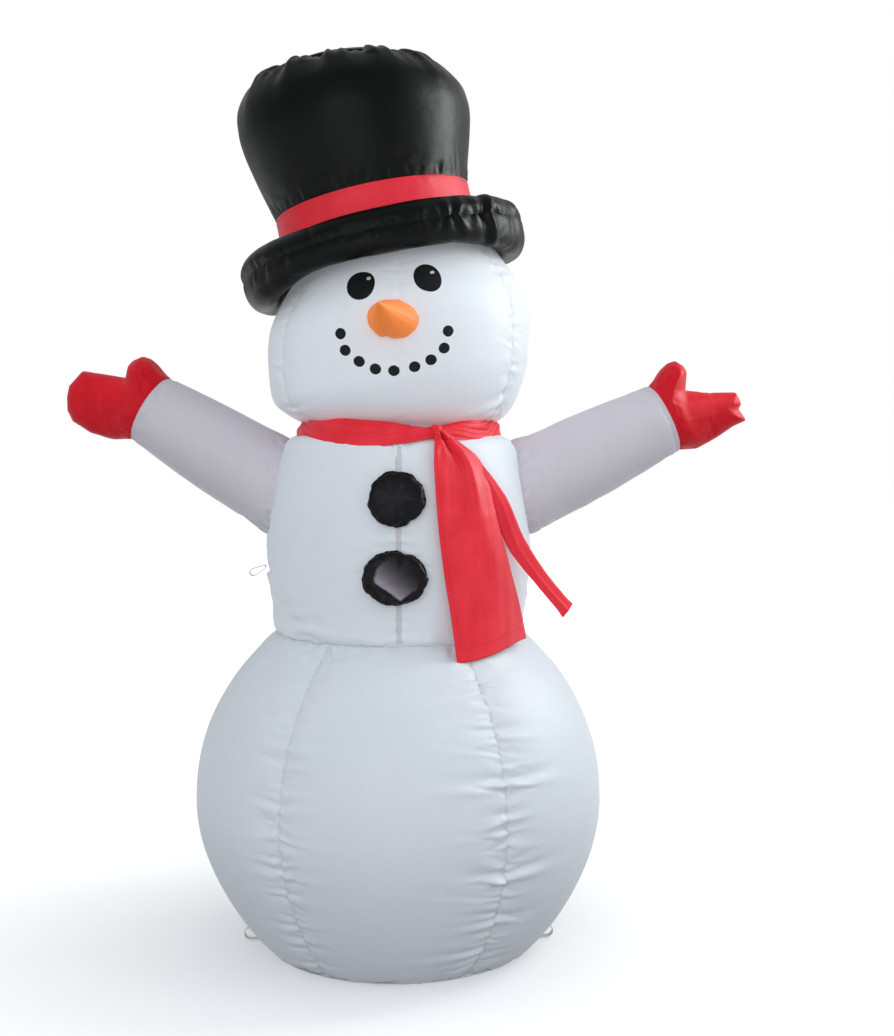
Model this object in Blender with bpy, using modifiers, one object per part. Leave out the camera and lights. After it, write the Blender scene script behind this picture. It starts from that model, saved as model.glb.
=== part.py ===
"""Inflatable yard snowman: sewn nylon envelope, hat, scarf, blower, zip and tie-down loops.

Metres, +Z up. The origin is the centre of the floor panel's underside, and the snowman faces -Y.
Bearings are degrees round +Z: 0 is the front (-Y) and 90 is +X. Left and right are as seen from the front.
"""
import math

import bmesh
import bpy
from mathutils import Matrix, Vector

# Cloth and clearances
CLOTH = 0.0015                 # wall of every sewn shell
WEBBING = 0.0018               # wall of a tie-down loop
GAP = 0.0003                   # between pieces that meet
WELD = 0.00005                 # merge distance
CUTTER_DEPTH = 0.08            # of the hole cutters for the nose and the blower port
SEAM_GAP = 0.0009              # between the outer faces of two panels, whose inner faces lean closer

# Base ball: a true sphere from the floor panel up to BALL_TOP_ANGLE
BALL_RADIUS = 0.400
BALL_HEIGHT = 0.303            # of the ball's centre
BALL_TOP_ANGLE = 45
FLOOR_RADIUS = math.sqrt(BALL_RADIUS ** 2 - BALL_HEIGHT ** 2)
WAIST = (0.248, 0.6285)        # radius and height of the seam between ball and chest
SHOULDER_OF_BALL = (0.263, 0.608)
BASE_SEAMS = {                 # bearings of each ball panel's two seams
    "base_front_panel": (-39, 32),
    "base_right_front_panel": (32, 106),
    "base_right_back_panel": (106, 180),
    "base_left_back_panel": (180, 250),
    "base_left_front_panel": (250, 321),
}

# Chest: radius and height down the outside, from the neck opening to the waist
CHEST_OUTLINE = [
    (0.158, 1.0275), (0.190, 1.0225), (0.222, 1.009), (0.243, 0.980), (0.258, 0.930),
    (0.2635, 0.870), (0.2635, 0.790), (0.2585, 0.720), (0.2495, 0.665), (0.2485, 0.6295),
]
CHEST_SEAMS = {
    "chest_left_front_panel": (-90, 0),
    "chest_right_front_panel": (0, 90),
    "chest_right_back_panel": (90, 180),
    "chest_left_back_panel": (180, 270),
}

# Head: radius and height down the outside, from the crown to the end of the neck tube
NECK_PIVOT = Vector((0, 0, 1.027))
HEAD_OUTLINE = [
    (0.012, 1.4530), (0.080, 1.443), (0.130, 1.420), (0.168, 1.390), (0.195, 1.360),
    (0.228, 1.310), (0.250, 1.265), (0.2565, 1.190), (0.2535, 1.140), (0.227, 1.088),
    (0.190, 1.067), (0.158, 1.057), (0.152, 1.046), (0.152, 1.005),
]
HEAD_SEAMS = {
    "head_left_front_panel": (-60, 0),
    "head_right_front_panel": (0, 60),
    "head_right_side_panel": (60, 120),
    "head_right_back_panel": (120, 180),
    "head_left_back_panel": (180, 240),
    "head_left_side_panel": (240, 300),
}
EYES = {"left_eye": (-17.0, 1.300), "right_eye": (12.8, 1.313)}   # bearing and height
EYE_RADIUS = 0.026
EYE_THICKNESS = 0.0012
EYE_LIFT = 0.0045              # from the faceted head to the middle of an eye
NOSE_CENTRE = Vector((-0.008, -0.2580, 1.237))
NOSE_HALF = (0.047, 0.038)     # half width and half height of its base
NOSE_HOLE = 0.032              # radius of the air hole behind it
NOSE_TIP = Vector((-0.021, -0.115, 0.022))   # from the centre of its base

# Hat: turned about its own axis, which leans to the left and a little back
HAT_CENTRE = Vector((-0.031, 0, 1.383))
HAT_LEAN = 12
HAT_PITCH = 4
BRIM_INNER, BRIM_OUTER, BRIM_HALF_DEPTH = 0.205, 0.288, 0.042
CROWN_OUTLINE = [
    (0.148, 0.3840), (0.198, 0.357), (0.226, 0.320), (0.2335, 0.285), (0.231, 0.250),
    (0.218, 0.190), (0.1965, 0.118), (0.1975, 0.045), (0.2035, 0.0035),
]
CROWN_TOP_OUTLINE = [(0, 0.409), (0.090, 0.402), (0.1475, 0.3845)]
BAND_LOW, BAND_HIGH = 0.046, 0.117
BAND_STANDOFF = 0.0022         # from the crown's outside to the band's outside
HAT_STEPS = 20

# Arms: shoulder pivot, wrist and hand outline
ARMS = {
    "left": {"shoulder": Vector((-0.240, 0.0, 0.919)), "wrist": Vector((-0.493, 0.040, 1.069))},
    "right": {"shoulder": Vector((0.245, 0.0, 0.914)), "wrist": Vector((0.530, 0.025, 1.050))},
}
SLEEVE_ROOT_RADIUS, SLEEVE_WRIST_RADIUS = 0.0915, 0.0735
SLEEVE_INSIDE = 0.022          # length of sleeve inside the armhole
SLEEVE_BULGE = 0.002           # at the middle of the sleeve
WRIST_GAP = 0.008              # between the sleeve's end and the mitten's middle
ARMHOLE_CLEARANCE = 0.004
ARMHOLE_SWING = 0.006          # more, up and down, where the sleeve swings
# Mitten sections from wrist to fingertip: (top along, top up, bottom along, bottom up, half depth)
MITTEN_SECTIONS = {
    "left": [
        (-0.042, 0.070, 0.039, -0.069, 0.076), (0.036, 0.070, 0.070, -0.070, 0.062),
        (0.105, 0.086, 0.118, -0.056, 0.056), (0.168, 0.070, 0.176, -0.020, 0.036),
    ],
    "right": [
        (-0.038, 0.070, 0.034, -0.070, 0.076), (0.042, 0.062, 0.072, -0.070, 0.062),
        (0.108, 0.068, 0.122, -0.038, 0.056), (0.166, 0.058, 0.176, -0.006, 0.036),
    ],
}
# Thumb tip over the first two sections: (inner along, inner up, outer along, outer up, half depth)
THUMB_TIP = {
    "left": (-0.012, 0.116, 0.042, 0.100, 0.026),
    "right": (0.002, 0.126, 0.058, 0.102, 0.026),
}

# Scarf
SCARF_INNER, SCARF_OUTER = 0.172, 0.2055
SCARF_LOW, SCARF_HIGH = 1.0275, 1.048
KNOT_HALF_SIZES = (0.018, 0.014, 0.015)
KNOT_BEARING, KNOT_RADIUS_OUT, KNOT_HEIGHT = 18.4, 0.2235, 1.033
WIDE_TAIL_STANDOFF = 0.016     # from the chest
WIDE_TAIL_TOP_RADIUS = 0.239   # least distance from the axis
WIDE_TAIL_FREE = (0.83, 0.2795)   # below this height it hangs straight, at this radius
WIDE_TAIL_COLUMNS = 4
# Wide tail rows from the knot down: (left bearing, left height, right bearing, right height)
WIDE_TAIL_ROWS = [
    (16.0, 1.0165, 27.0, 1.0165), (14.3, 0.965, 36.8, 0.965), (14.9, 0.864, 40.5, 0.864),
    (17.3, 0.770, 49.0, 0.772), (20.5, 0.680, 57.0, 0.695), (22.8, 0.600, 63.0, 0.628),
]
# Narrow tail's middle line from the knot down: (bearing, radius, height)
NARROW_TAIL_PATH = [
    (22.0, 0.2315, 1.012), (34.0, 0.2570, 0.965), (43.5, 0.2685, 0.895),
    (52.2, 0.2805, 0.8155), (60.4, 0.3150, 0.748), (66.9, 0.3565, 0.683),
]
NARROW_TAIL_WIDTH = 0.026
TAIL_THICKNESS = 0.002

# Buttons: centre across and up, half width and half height
BUTTONS = {
    "upper_button": (-0.004, 0.907, 0.0565, 0.054),
    "lower_button": (-0.008, 0.761, 0.065, 0.054),
}
BUTTON_HALF_DEPTH = 0.017
BUTTON_STANDOFF = 0.001        # from the chest

# Tie-down loops: bearings, then the round near and far ends as (distance out, height, radius)
STAKE_LOOP_BEARINGS = {"left_stake_loop": -90, "right_stake_loop": 90, "back_stake_loop": 180}
STAKE_LOOP_ENDS = ((0.2705, 0.0035, 0.0025), (0.3010, 0.0135, 0.0125))
TETHER_LOOP_BEARINGS = {"left_tether_loop": -90, "back_tether_loop": 180}
TETHER_LOOP_ENDS = ((0.2700, 0.7570, 0.0040), (0.2925, 0.7460, 0.0080))
LOOP_WIDTH = 0.013

# Zip in the back seam of the ball
ZIP_TOP, ZIP_BOTTOM = 12, -33        # elevations seen from the ball's centre
ZIP_TAPE_ANGLE = 1.9                 # width of one tape, as an angle round +Z
ZIP_TAPE_SPACE = 0.15                # from the seam to each tape, as the same kind of angle
ZIP_TAPE_LIFT = 0.0018               # from the ball to the tape's outside
ZIP_TAPE_THICKNESS = 0.0009
ZIP_STOP_SIZE = (0.008, 0.0022, 0.004)
ZIP_STOP_LIFT = 0.0034               # from the ball to a stop's middle
ZIP_STOP_INSET = 0.6                 # degrees of elevation from a tape's end
SLIDER_PARKED = 2.2                  # degrees of elevation below the tape's top
SLIDER_LIFT = 0.0022                 # from the ball to the slider's back
SLIDER_EDGE = 0.0012                 # its bevel, and the space between it and the pull
PULL_LIFT = 0.0060
PULL_LEAN = 2.5                      # degrees the pull lies off the ball's tangent
SLIDER_SIZE = (0.011, 0.006, 0.014)
PULL_SIZE = (0.007, 0.0016, 0.032)

# Blower, turned about its own axis, which points straight out of the ball
BLOWER_BEARING, BLOWER_ELEVATION = 143, -20
DUCT_OUTER, DUCT_INNER = 0.056, 0.052
PORT_RADIUS = 0.060
DUCT_DEPTH = 0.062                   # from the mouth inwards
DUCT_STEPS = 24
FLANGE_RADIUS, FLANGE_TOP, FLANGE_BOTTOM = 0.076, -0.015, -0.018
RING_RADIUS, RING_INNER = 0.078, 0.053
RING_LOW, RING_STEP, RING_HIGH = 0.0010, 0.0046, 0.0060
BLADES = 7
BLADE_PITCH = 52
BLADE_THICKNESS, BLADE_CHORD = 0.0018, 0.020
HUB_RADIUS, BLADE_TIP_RADIUS = 0.019, 0.0495
HUB_TOP, HUB_BOTTOM = -0.010, -0.030
SHAFT_RADIUS, SHAFT_LENGTH = 0.0025, 0.020
MOTOR_OUTER, MOTOR_INNER, MOTOR_TOP, MOTOR_BOTTOM = 0.0175, 0.0032, -0.033, -0.054
BRACKET_THICKNESS = 0.003
BRACKET_WAIST = 0.019                # radius between its three arms
BRACKET_ARM_HALF = 8                 # degrees
GUARD_THICKNESS = 0.002
GUARD_SLOTS = ((0.014, 0.026, 4), (0.031, 0.045, 6))   # inner radius, outer radius, count
GUARD_RIB_HALF = 8                   # degrees between a slot's end and the middle of the rib
INLET_OUTLINE = [(0.0060, 0.020), (0.0070, 0.0065), (0.0026, 0.0065), (0.0026, 0.020)]
INLET_OFFSET = 0.0665                # from the blower's axis, downwards

# Lights
LAMP_ROUTE = [
    Vector((0.130, 0.190, 0.200)), Vector((0.070, 0.230, 0.240)), Vector((0.030, 0.240, 0.320)),
    Vector((0.020, 0.225, 0.420)), Vector((0.015, 0.200, 0.540)), Vector((0.010, 0.185, 0.640)),
    Vector((0.010, 0.185, 0.760)), Vector((0.012, 0.170, 0.850)),
]
LAMP_WIRE_RADIUS = 0.002
LAMP_HALF_SIZES = (0.012, 0.012, 0.014)
LAMP_LIFT = 0.017                    # from the wire's end to the lamp's middle

COLOURS = {                          # red, green, blue, roughness, metallic
    "white_nylon": (0.76, 0.80, 0.86, 0.45, 0),
    "sleeve_nylon": (0.66, 0.66, 0.74, 0.45, 0),
    "black_nylon": (0.012, 0.013, 0.013, 0.40, 0),
    "red_nylon": (0.72, 0.035, 0.06, 0.50, 0),
    "red_satin": (0.80, 0.05, 0.08, 0.45, 0),
    "orange_nylon": (0.95, 0.30, 0.06, 0.45, 0),
    "white_webbing": (0.72, 0.74, 0.78, 0.80, 0),
    "zip_tape": (0.70, 0.72, 0.76, 0.80, 0),
    "zip_metal": (0.60, 0.61, 0.62, 0.35, 1),
    "blower_plastic": (0.03, 0.03, 0.032, 0.45, 0),
    "fan_plastic": (0.10, 0.10, 0.11, 0.40, 0),
    "steel": (0.55, 0.56, 0.58, 0.30, 1),
    "lamp_plastic": (0.85, 0.87, 0.90, 0.25, 0),
    "wire_plastic": (0.02, 0.02, 0.02, 0.50, 0),
}


def clear_scene():
    for old in list(bpy.data.objects):
        bpy.data.objects.remove(old, do_unlink=True)


def new_collection(name):
    collection = bpy.data.collections.new(name)
    bpy.context.scene.collection.children.link(collection)
    return collection


def make_material(name):
    red, green, blue, roughness, metallic = COLOURS[name]
    material = bpy.data.materials.new(name)
    material.use_nodes = True
    shader = material.node_tree.nodes["Principled BSDF"]
    shader.inputs["Base Color"].default_value = (red, green, blue, 1)
    shader.inputs["Roughness"].default_value = roughness
    shader.inputs["Metallic"].default_value = metallic
    material.diffuse_color = (red, green, blue, 1)
    return material


clear_scene()
SNOWMAN = new_collection("inflatable_snowman")
CUTTERS = new_collection("cutters")
MATERIALS = {name: make_material(name) for name in COLOURS}


def outward(bearing):
    """Unit vector out from the axis at a bearing."""
    turn = math.radians(bearing)
    return Vector((math.sin(turn), -math.cos(turn), 0))


def along(bearing):
    """Unit vector round the axis at a bearing, towards larger bearings."""
    turn = math.radians(bearing)
    return Vector((math.cos(turn), math.sin(turn), 0))


def add_piece(name, data, material=None, parent=None, collection=SNOWMAN):
    piece = bpy.data.objects.new(name, data)
    collection.objects.link(piece)
    piece.parent = parent
    if material:
        data.materials.append(MATERIALS[material])
    return piece


def add_empty(name, location, rotation=None):
    empty = bpy.data.objects.new(name, None)
    SNOWMAN.objects.link(empty)
    empty.empty_display_size = 0.05
    empty.location = location
    if rotation:
        empty.rotation_mode = "QUATERNION"
        empty.rotation_quaternion = rotation
    return empty


def mesh_from(name, form):
    """A mesh from a bmesh, with outward faces shaded smooth up to 40 degrees."""
    bmesh.ops.recalc_face_normals(form, faces=form.faces[:])
    mesh = bpy.data.meshes.new(name)
    form.to_mesh(mesh)
    form.free()
    mesh.shade_smooth()
    mesh.set_sharp_from_angle(angle=math.radians(40))
    return mesh


def add_shell(piece, thickness=CLOTH):
    """Give an open surface a wall on its inner side."""
    wall = piece.modifiers.new("wall", "SOLIDIFY")
    wall.thickness = thickness
    wall.offset = -1
    return wall


def cut(piece, cutter):
    hole = piece.modifiers.new("cut", "BOOLEAN")
    hole.operation = "DIFFERENCE"
    hole.object = cutter
    return hole


def make_cutter(piece):
    SNOWMAN.objects.unlink(piece)
    CUTTERS.objects.link(piece)
    piece.hide_render = True
    piece.display_type = "WIRE"
    return piece


def turned(name, outline, material, sweep=360, steps=24, closed=False, parent=None):
    """Turn (radius, height) points about local Z; an outer side runs from top to bottom."""
    mesh = bpy.data.meshes.new(name)
    edges = [(i, i + 1) for i in range(len(outline) - 1)]
    if closed:
        edges.append((len(outline) - 1, 0))
    mesh.from_pydata([(radius, 0, height) for radius, height in outline], edges, [])
    piece = add_piece(name, mesh, material, parent)
    screw = piece.modifiers.new("turn", "SCREW")
    screw.angle = math.radians(sweep)
    screw.steps = screw.render_steps = steps
    screw.use_merge_vertices = True
    screw.merge_threshold = WELD
    screw.use_smooth_shade = True
    return piece


def gore(name, outline, seams, steps, material):
    """One panel of a turned envelope between two seam bearings, moved out by the seam gap."""
    start, end = seams
    piece = turned(name, outline, material, sweep=end - start, steps=steps)
    piece.rotation_euler.z = math.radians(start - 90)
    half = math.radians((end - start) / 2)
    piece.location = outward((start + end) / 2) * SEAM_GAP / (2 * math.sin(half))
    add_shell(piece)
    return piece


def cylinder(name, radius, depth, material, sides=24, parent=None):
    form = bmesh.new()
    bmesh.ops.create_cone(form, cap_ends=True, segments=sides, radius1=radius, radius2=radius,
                          depth=depth)
    return add_piece(name, mesh_from(name, form), material, parent)


def box(name, size, material, parent=None):
    form = bmesh.new()
    bmesh.ops.create_cube(form, size=1)
    bmesh.ops.scale(form, vec=size, verts=form.verts)
    return add_piece(name, mesh_from(name, form), material, parent)


def ellipsoid(name, half_sizes, material, segments=14, rings=7, parent=None):
    form = bmesh.new()
    bmesh.ops.create_uvsphere(form, u_segments=segments, v_segments=rings, radius=1)
    bmesh.ops.scale(form, vec=half_sizes, verts=form.verts)
    return add_piece(name, mesh_from(name, form), material, parent)


def flat_outline(name, loops, thickness, material, parent=None):
    """A plate in local XY from an outer loop and hole loops, centred on its thickness."""
    curve = bpy.data.curves.new(name, "CURVE")
    curve.dimensions = "2D"
    curve.fill_mode = "BOTH"
    curve.extrude = thickness / 2
    for loop in loops:
        spline = curve.splines.new("POLY")
        spline.points.add(len(loop) - 1)
        spline.use_cyclic_u = True
        for point, (x, y) in zip(spline.points, loop):
            point.co = (x, y, 0, 1)
    piece = add_piece(name, curve, material, parent)
    weld = piece.modifiers.new("weld", "WELD")
    weld.merge_threshold = WELD
    return piece


def arc_points(radius, start, end, count):
    """Points on an arc about the origin, from start to end degrees."""
    turns = [math.radians(start + (end - start) * i / (count - 1)) for i in range(count)]
    return [(radius * math.cos(turn), radius * math.sin(turn)) for turn in turns]


def radius_at(outline, height):
    """Radius of a turned outline at a height, between its points."""
    for (upper_radius, upper), (lower_radius, lower) in zip(outline, outline[1:]):
        if lower <= height <= upper:
            share = (upper - height) / (upper - lower)
            return upper_radius + (lower_radius - upper_radius) * share
    return outline[0][0] if height > outline[0][1] else outline[-1][0]


def surface_normal(outline, bearing, height):
    """Unit normal of a turned surface at a bearing and height."""
    step = 0.01
    slope = (radius_at(outline, height - step) - radius_at(outline, height + step)) / (2 * step)
    return (outward(bearing) + Vector((0, 0, slope))).normalized()


def sheet_between(name, rows, material, thickness):
    """Loft a sheet through rows of points, each row from the left edge to the right edge."""
    form = bmesh.new()
    grid = [[form.verts.new(point) for point in row] for row in rows]
    for upper, lower in zip(grid, grid[1:]):
        for i in range(len(upper) - 1):
            form.faces.new((upper[i], lower[i], lower[i + 1], upper[i + 1]))
    mesh = bpy.data.meshes.new(name)
    form.to_mesh(mesh)
    form.free()
    mesh.shade_smooth()
    piece = add_piece(name, mesh, material)
    add_shell(piece, thickness)
    return piece


# ---- Base ball --------------------------------------------------------------------------------
def make_base():
    floor_angle = -math.degrees(math.acos(FLOOR_RADIUS / BALL_RADIUS)) + 0.5
    arc = arc_points(BALL_RADIUS, BALL_TOP_ANGLE, floor_angle, 12)
    outline = [WAIST, SHOULDER_OF_BALL] + [(x, y + BALL_HEIGHT) for x, y in arc]
    panels = {}
    for name, seams in BASE_SEAMS.items():
        panels[name] = gore(name, outline, seams, 4, "white_nylon")
    floor = cylinder("base_floor_panel", FLOOR_RADIUS - 0.002, CLOTH, "white_nylon", sides=36)
    floor.location.z = CLOTH / 2
    return panels


# ---- Chest ------------------------------------------------------------------------------------
def arm_turn(side):
    """Rotation that puts local +Z along an arm and keeps local X level."""
    reach = (ARMS[side]["wrist"] - ARMS[side]["shoulder"]).normalized()
    level = Vector((0, 0, 1)).cross(reach).normalized()
    upright = reach.cross(level)
    return Matrix((level, upright, reach)).transposed().to_quaternion()


def make_chest():
    panels = {}
    for name, seams in CHEST_SEAMS.items():
        panels[name] = gore(name, CHEST_OUTLINE, seams, 5, "white_nylon")
    for side, arm in ARMS.items():
        hole = SLEEVE_ROOT_RADIUS + ARMHOLE_CLEARANCE
        cutter = make_cutter(cylinder(f"{side}_armhole_cutter", 1, 0.16, None, sides=28))
        cutter.data.transform(Matrix.Diagonal((hole, hole + ARMHOLE_SWING, 1, 1)))
        cutter.rotation_mode = "QUATERNION"
        cutter.rotation_quaternion = arm_turn(side)
        cutter.location = arm["shoulder"]
        for where in ("front", "back"):
            cut(panels[f"chest_{side}_{where}_panel"], cutter)


# ---- Head -------------------------------------------------------------------------------------
def make_head():
    nose_cutter = make_cutter(cylinder("nose_hole_cutter", NOSE_HOLE, CUTTER_DEPTH, None, sides=20))
    nose_cutter.rotation_euler.x = math.radians(90)
    nose_cutter.location = NOSE_CENTRE
    for name, seams in HEAD_SEAMS.items():
        panel = gore(name, HEAD_OUTLINE, seams, 3, "white_nylon")
        if "front" in name:
            cut(panel, nose_cutter)
    for name, (bearing, height) in EYES.items():
        eye = cylinder(name, EYE_RADIUS, EYE_THICKNESS, "black_nylon", sides=20)
        normal = surface_normal(HEAD_OUTLINE, bearing, height)
        eye.rotation_mode = "QUATERNION"
        eye.rotation_quaternion = normal.to_track_quat("Z", "Y")
        surface = outward(bearing) * radius_at(HEAD_OUTLINE, height) + Vector((0, 0, height))
        eye.location = surface + normal * EYE_LIFT
    make_nose()


def make_nose():
    """A sewn cone whose tip leans up and to the left of its oval base."""
    form = bmesh.new()
    rings = bmesh.ops.create_cone(form, cap_ends=False, segments=16, radius1=1, radius2=0.09, depth=1)
    for vertex in rings["verts"]:
        share = vertex.co.z + 0.5      # 0 at the base, 1 at the tip
        base = Vector((vertex.co.x * NOSE_HALF[0], 0, vertex.co.y * NOSE_HALF[1]))
        vertex.co = base + NOSE_TIP * share
    tip = [edge for edge in form.edges if edge.is_boundary and edge.verts[0].co.y < NOSE_TIP.y / 2]
    bmesh.ops.contextual_create(form, geom=tip)
    bmesh.ops.recalc_face_normals(form, faces=form.faces[:])
    if sum(face.normal.dot(face.calc_center_median()) for face in form.faces) < 0:
        bmesh.ops.reverse_faces(form, faces=form.faces[:])
    mesh = bpy.data.meshes.new("nose_cone")
    form.to_mesh(mesh)
    form.free()
    mesh.shade_smooth()
    nose = add_piece("nose_cone", mesh, "orange_nylon")
    nose.location = NOSE_CENTRE
    add_shell(nose)


# ---- Hat --------------------------------------------------------------------------------------
def make_hat():
    lean = Matrix.Rotation(math.radians(-HAT_LEAN), 4, "Y")
    pitch = Matrix.Rotation(math.radians(-HAT_PITCH), 4, "X")
    hat = add_empty("hat_axis", HAT_CENTRE, (lean @ pitch).to_quaternion())
    middle = (BRIM_INNER + BRIM_OUTER) / 2
    half_width = (BRIM_OUTER - BRIM_INNER) / 2
    seam = 3                           # degrees left open at the two brim seams
    upper = arc_points(1, 180 - seam, seam, 6)
    lower = arc_points(1, -seam, seam - 180, 6)
    for name, arc in (("hat_brim_upper", upper), ("hat_brim_lower", lower)):
        outline = [(middle + x * half_width, y * BRIM_HALF_DEPTH) for x, y in arc]
        add_shell(turned(name, outline, "black_nylon", steps=HAT_STEPS, parent=hat))
    add_shell(turned("hat_crown_side", CROWN_OUTLINE, "black_nylon", steps=HAT_STEPS, parent=hat))
    add_shell(turned("hat_crown_top", CROWN_TOP_OUTLINE, "black_nylon", steps=HAT_STEPS, parent=hat))
    band = [
        (radius_at(CROWN_OUTLINE, height) + BAND_STANDOFF, height)
        for height in (BAND_HIGH, (BAND_LOW + BAND_HIGH) / 2, BAND_LOW)
    ]
    add_shell(turned("hat_band", band, "red_satin", steps=HAT_STEPS, parent=hat))


# ---- Arms -------------------------------------------------------------------------------------
def mitten_cage(side):
    """A coarse cage, open at the wrist, with its thumb drawn out of the top of the first span."""
    form = bmesh.new()
    rows = []
    for top_along, top_up, low_along, low_up, half in MITTEN_SECTIONS[side]:
        corners = [(top_along, -half, top_up), (top_along, half, top_up),
                   (low_along, half, low_up), (low_along, -half, low_up)]
        rows.append([form.verts.new(corner) for corner in corners])
    top_faces = []
    for near, far in zip(rows, rows[1:]):
        for i in range(4):
            j = (i + 1) % 4
            face = form.faces.new((near[i], near[j], far[j], far[i]))
            if i == 0:
                top_faces.append(face)
    form.faces.new(rows[-1])
    inner_along, inner_up, outer_along, outer_up, half = THUMB_TIP[side]
    drawn = bmesh.ops.extrude_discrete_faces(form, faces=[top_faces[0]])["faces"][0]
    for vertex in drawn.verts:
        near_wrist = vertex.co.x < 0
        depth = half if vertex.co.y > 0 else -half
        if near_wrist:
            vertex.co = (inner_along, depth, inner_up)
        else:
            vertex.co = (outer_along, depth, outer_up)
    bmesh.ops.recalc_face_normals(form, faces=form.faces[:])
    return form


def make_arms():
    for side, arm in ARMS.items():
        pivot = add_empty(f"{side}_shoulder_pivot", arm["shoulder"], arm_turn(side))
        length = (arm["wrist"] - arm["shoulder"]).length
        slope = (SLEEVE_WRIST_RADIUS - SLEEVE_ROOT_RADIUS) / length
        root_radius = SLEEVE_ROOT_RADIUS - slope * SLEEVE_INSIDE
        middle = (SLEEVE_ROOT_RADIUS + SLEEVE_WRIST_RADIUS) / 2 + SLEEVE_BULGE
        outline = [(SLEEVE_WRIST_RADIUS, length), (middle, length * 0.55), (root_radius, -SLEEVE_INSIDE)]
        add_shell(turned(f"{side}_arm_sleeve", outline, "sleeve_nylon", steps=20, parent=pivot))
        make_mitten(side, arm)


def make_mitten(side, arm):
    form = mitten_cage(side)
    mirror = -1 if side == "left" else 1
    reach = arm["wrist"] - arm["shoulder"]
    sweep = math.atan2(reach.y, abs(reach.x))
    bmesh.ops.scale(form, vec=(mirror, 1, 1), verts=form.verts)
    bmesh.ops.rotate(form, cent=(0, 0, 0), matrix=Matrix.Rotation(mirror * sweep, 3, "Z"),
                     verts=form.verts)
    bmesh.ops.recalc_face_normals(form, faces=form.faces[:])
    mesh = bpy.data.meshes.new(f"{side}_mitten")
    form.to_mesh(mesh)
    form.free()
    mesh.shade_smooth()
    mitten = add_piece(f"{side}_mitten", mesh, "red_nylon")
    mitten.location = arm["wrist"] + reach.normalized() * WRIST_GAP
    smooth = mitten.modifiers.new("puff", "SUBSURF")
    smooth.levels = smooth.render_levels = 1
    add_shell(mitten)


# ---- Scarf ------------------------------------------------------------------------------------
def make_scarf():
    middle = Vector(((SCARF_INNER + SCARF_OUTER) / 2, (SCARF_LOW + SCARF_HIGH) / 2))
    half = Vector(((SCARF_OUTER - SCARF_INNER) / 2, (SCARF_HIGH - SCARF_LOW) / 2))
    ring = [(middle.x + x * half.x, middle.y + y * half.y) for x, y in arc_points(1, 150, -210, 9)[:-1]]
    turned("scarf_wrap", ring, "red_satin", steps=24, closed=True)
    knot = ellipsoid("scarf_knot", KNOT_HALF_SIZES, "red_satin", segments=12, rings=6)
    knot.location = outward(KNOT_BEARING) * KNOT_RADIUS_OUT + Vector((0, 0, KNOT_HEIGHT))
    knot.rotation_euler.z = math.radians(KNOT_BEARING)
    rows = []
    for left, left_height, right, right_height in WIDE_TAIL_ROWS:
        row = []
        for i in range(WIDE_TAIL_COLUMNS + 1):
            share = i / WIDE_TAIL_COLUMNS
            height = left_height + (right_height - left_height) * share
            radius = max(radius_at(CHEST_OUTLINE, height) + WIDE_TAIL_STANDOFF, WIDE_TAIL_TOP_RADIUS)
            if height < WIDE_TAIL_FREE[0]:
                radius = WIDE_TAIL_FREE[1]
            row.append(outward(left + (right - left) * share) * radius + Vector((0, 0, height)))
        rows.append(row)
    sheet_between("scarf_wide_tail", rows, "red_satin", TAIL_THICKNESS)
    rows = []
    path = [outward(bearing) * radius + Vector((0, 0, height))
            for bearing, radius, height in NARROW_TAIL_PATH]
    for i, point in enumerate(path):
        run = (path[min(i + 1, len(path) - 1)] - path[max(i - 1, 0)]).normalized()
        normal = surface_normal(CHEST_OUTLINE, NARROW_TAIL_PATH[i][0], point.z)
        across = normal.cross(run).normalized() * NARROW_TAIL_WIDTH / 2
        rows.append([point - across, point + across])
    sheet_between("scarf_narrow_tail", rows, "red_satin", TAIL_THICKNESS)


# ---- Buttons ----------------------------------------------------------------------------------
def make_buttons():
    for name, (across, height, half_width, half_height) in BUTTONS.items():
        button = ellipsoid(name, (half_width, BUTTON_HALF_DEPTH, half_height), "black_nylon")
        depth = radius_at(CHEST_OUTLINE, height) + BUTTON_HALF_DEPTH + BUTTON_STANDOFF
        button.location = (across, -depth, height)


# ---- Tie-down loops ---------------------------------------------------------------------------
def webbing_loop(name, bearing, near_end, far_end):
    """A closed band round two unlike round ends, whose hole faces round the axis."""
    out, up = far_end[0] - near_end[0], far_end[1] - near_end[1]
    lean = math.degrees(math.atan2(up, out))
    taper = math.degrees(math.asin((far_end[2] - near_end[2]) / math.hypot(out, up)))
    touch = 90 + taper

    def band_edge(inset):
        far = arc_points(far_end[2] - inset, lean - touch, lean + touch, 10)
        near = arc_points(near_end[2] - inset, lean + touch, lean + 360 - touch, 5)
        return [(x + out, y + up) for x, y in far] + near

    loop = flat_outline(name, [band_edge(0), band_edge(WEBBING)], LOOP_WIDTH, "white_webbing")
    frame = Matrix((outward(bearing), Vector((0, 0, 1)), -along(bearing))).transposed()
    loop.rotation_mode = "QUATERNION"
    loop.rotation_quaternion = frame.to_quaternion()
    loop.location = outward(bearing) * near_end[0] + Vector((0, 0, near_end[1]))


def make_loops():
    for name, bearing in STAKE_LOOP_BEARINGS.items():
        webbing_loop(name, bearing, *STAKE_LOOP_ENDS)
    for name, bearing in TETHER_LOOP_BEARINGS.items():
        webbing_loop(name, bearing, *TETHER_LOOP_ENDS)


# ---- Zip --------------------------------------------------------------------------------------
def on_back_of_ball(elevation, lift):
    """Point over the ball's back seam."""
    turn = math.radians(elevation)
    reach = BALL_RADIUS + lift
    return Vector((0, reach * math.cos(turn), BALL_HEIGHT + reach * math.sin(turn)))


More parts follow.
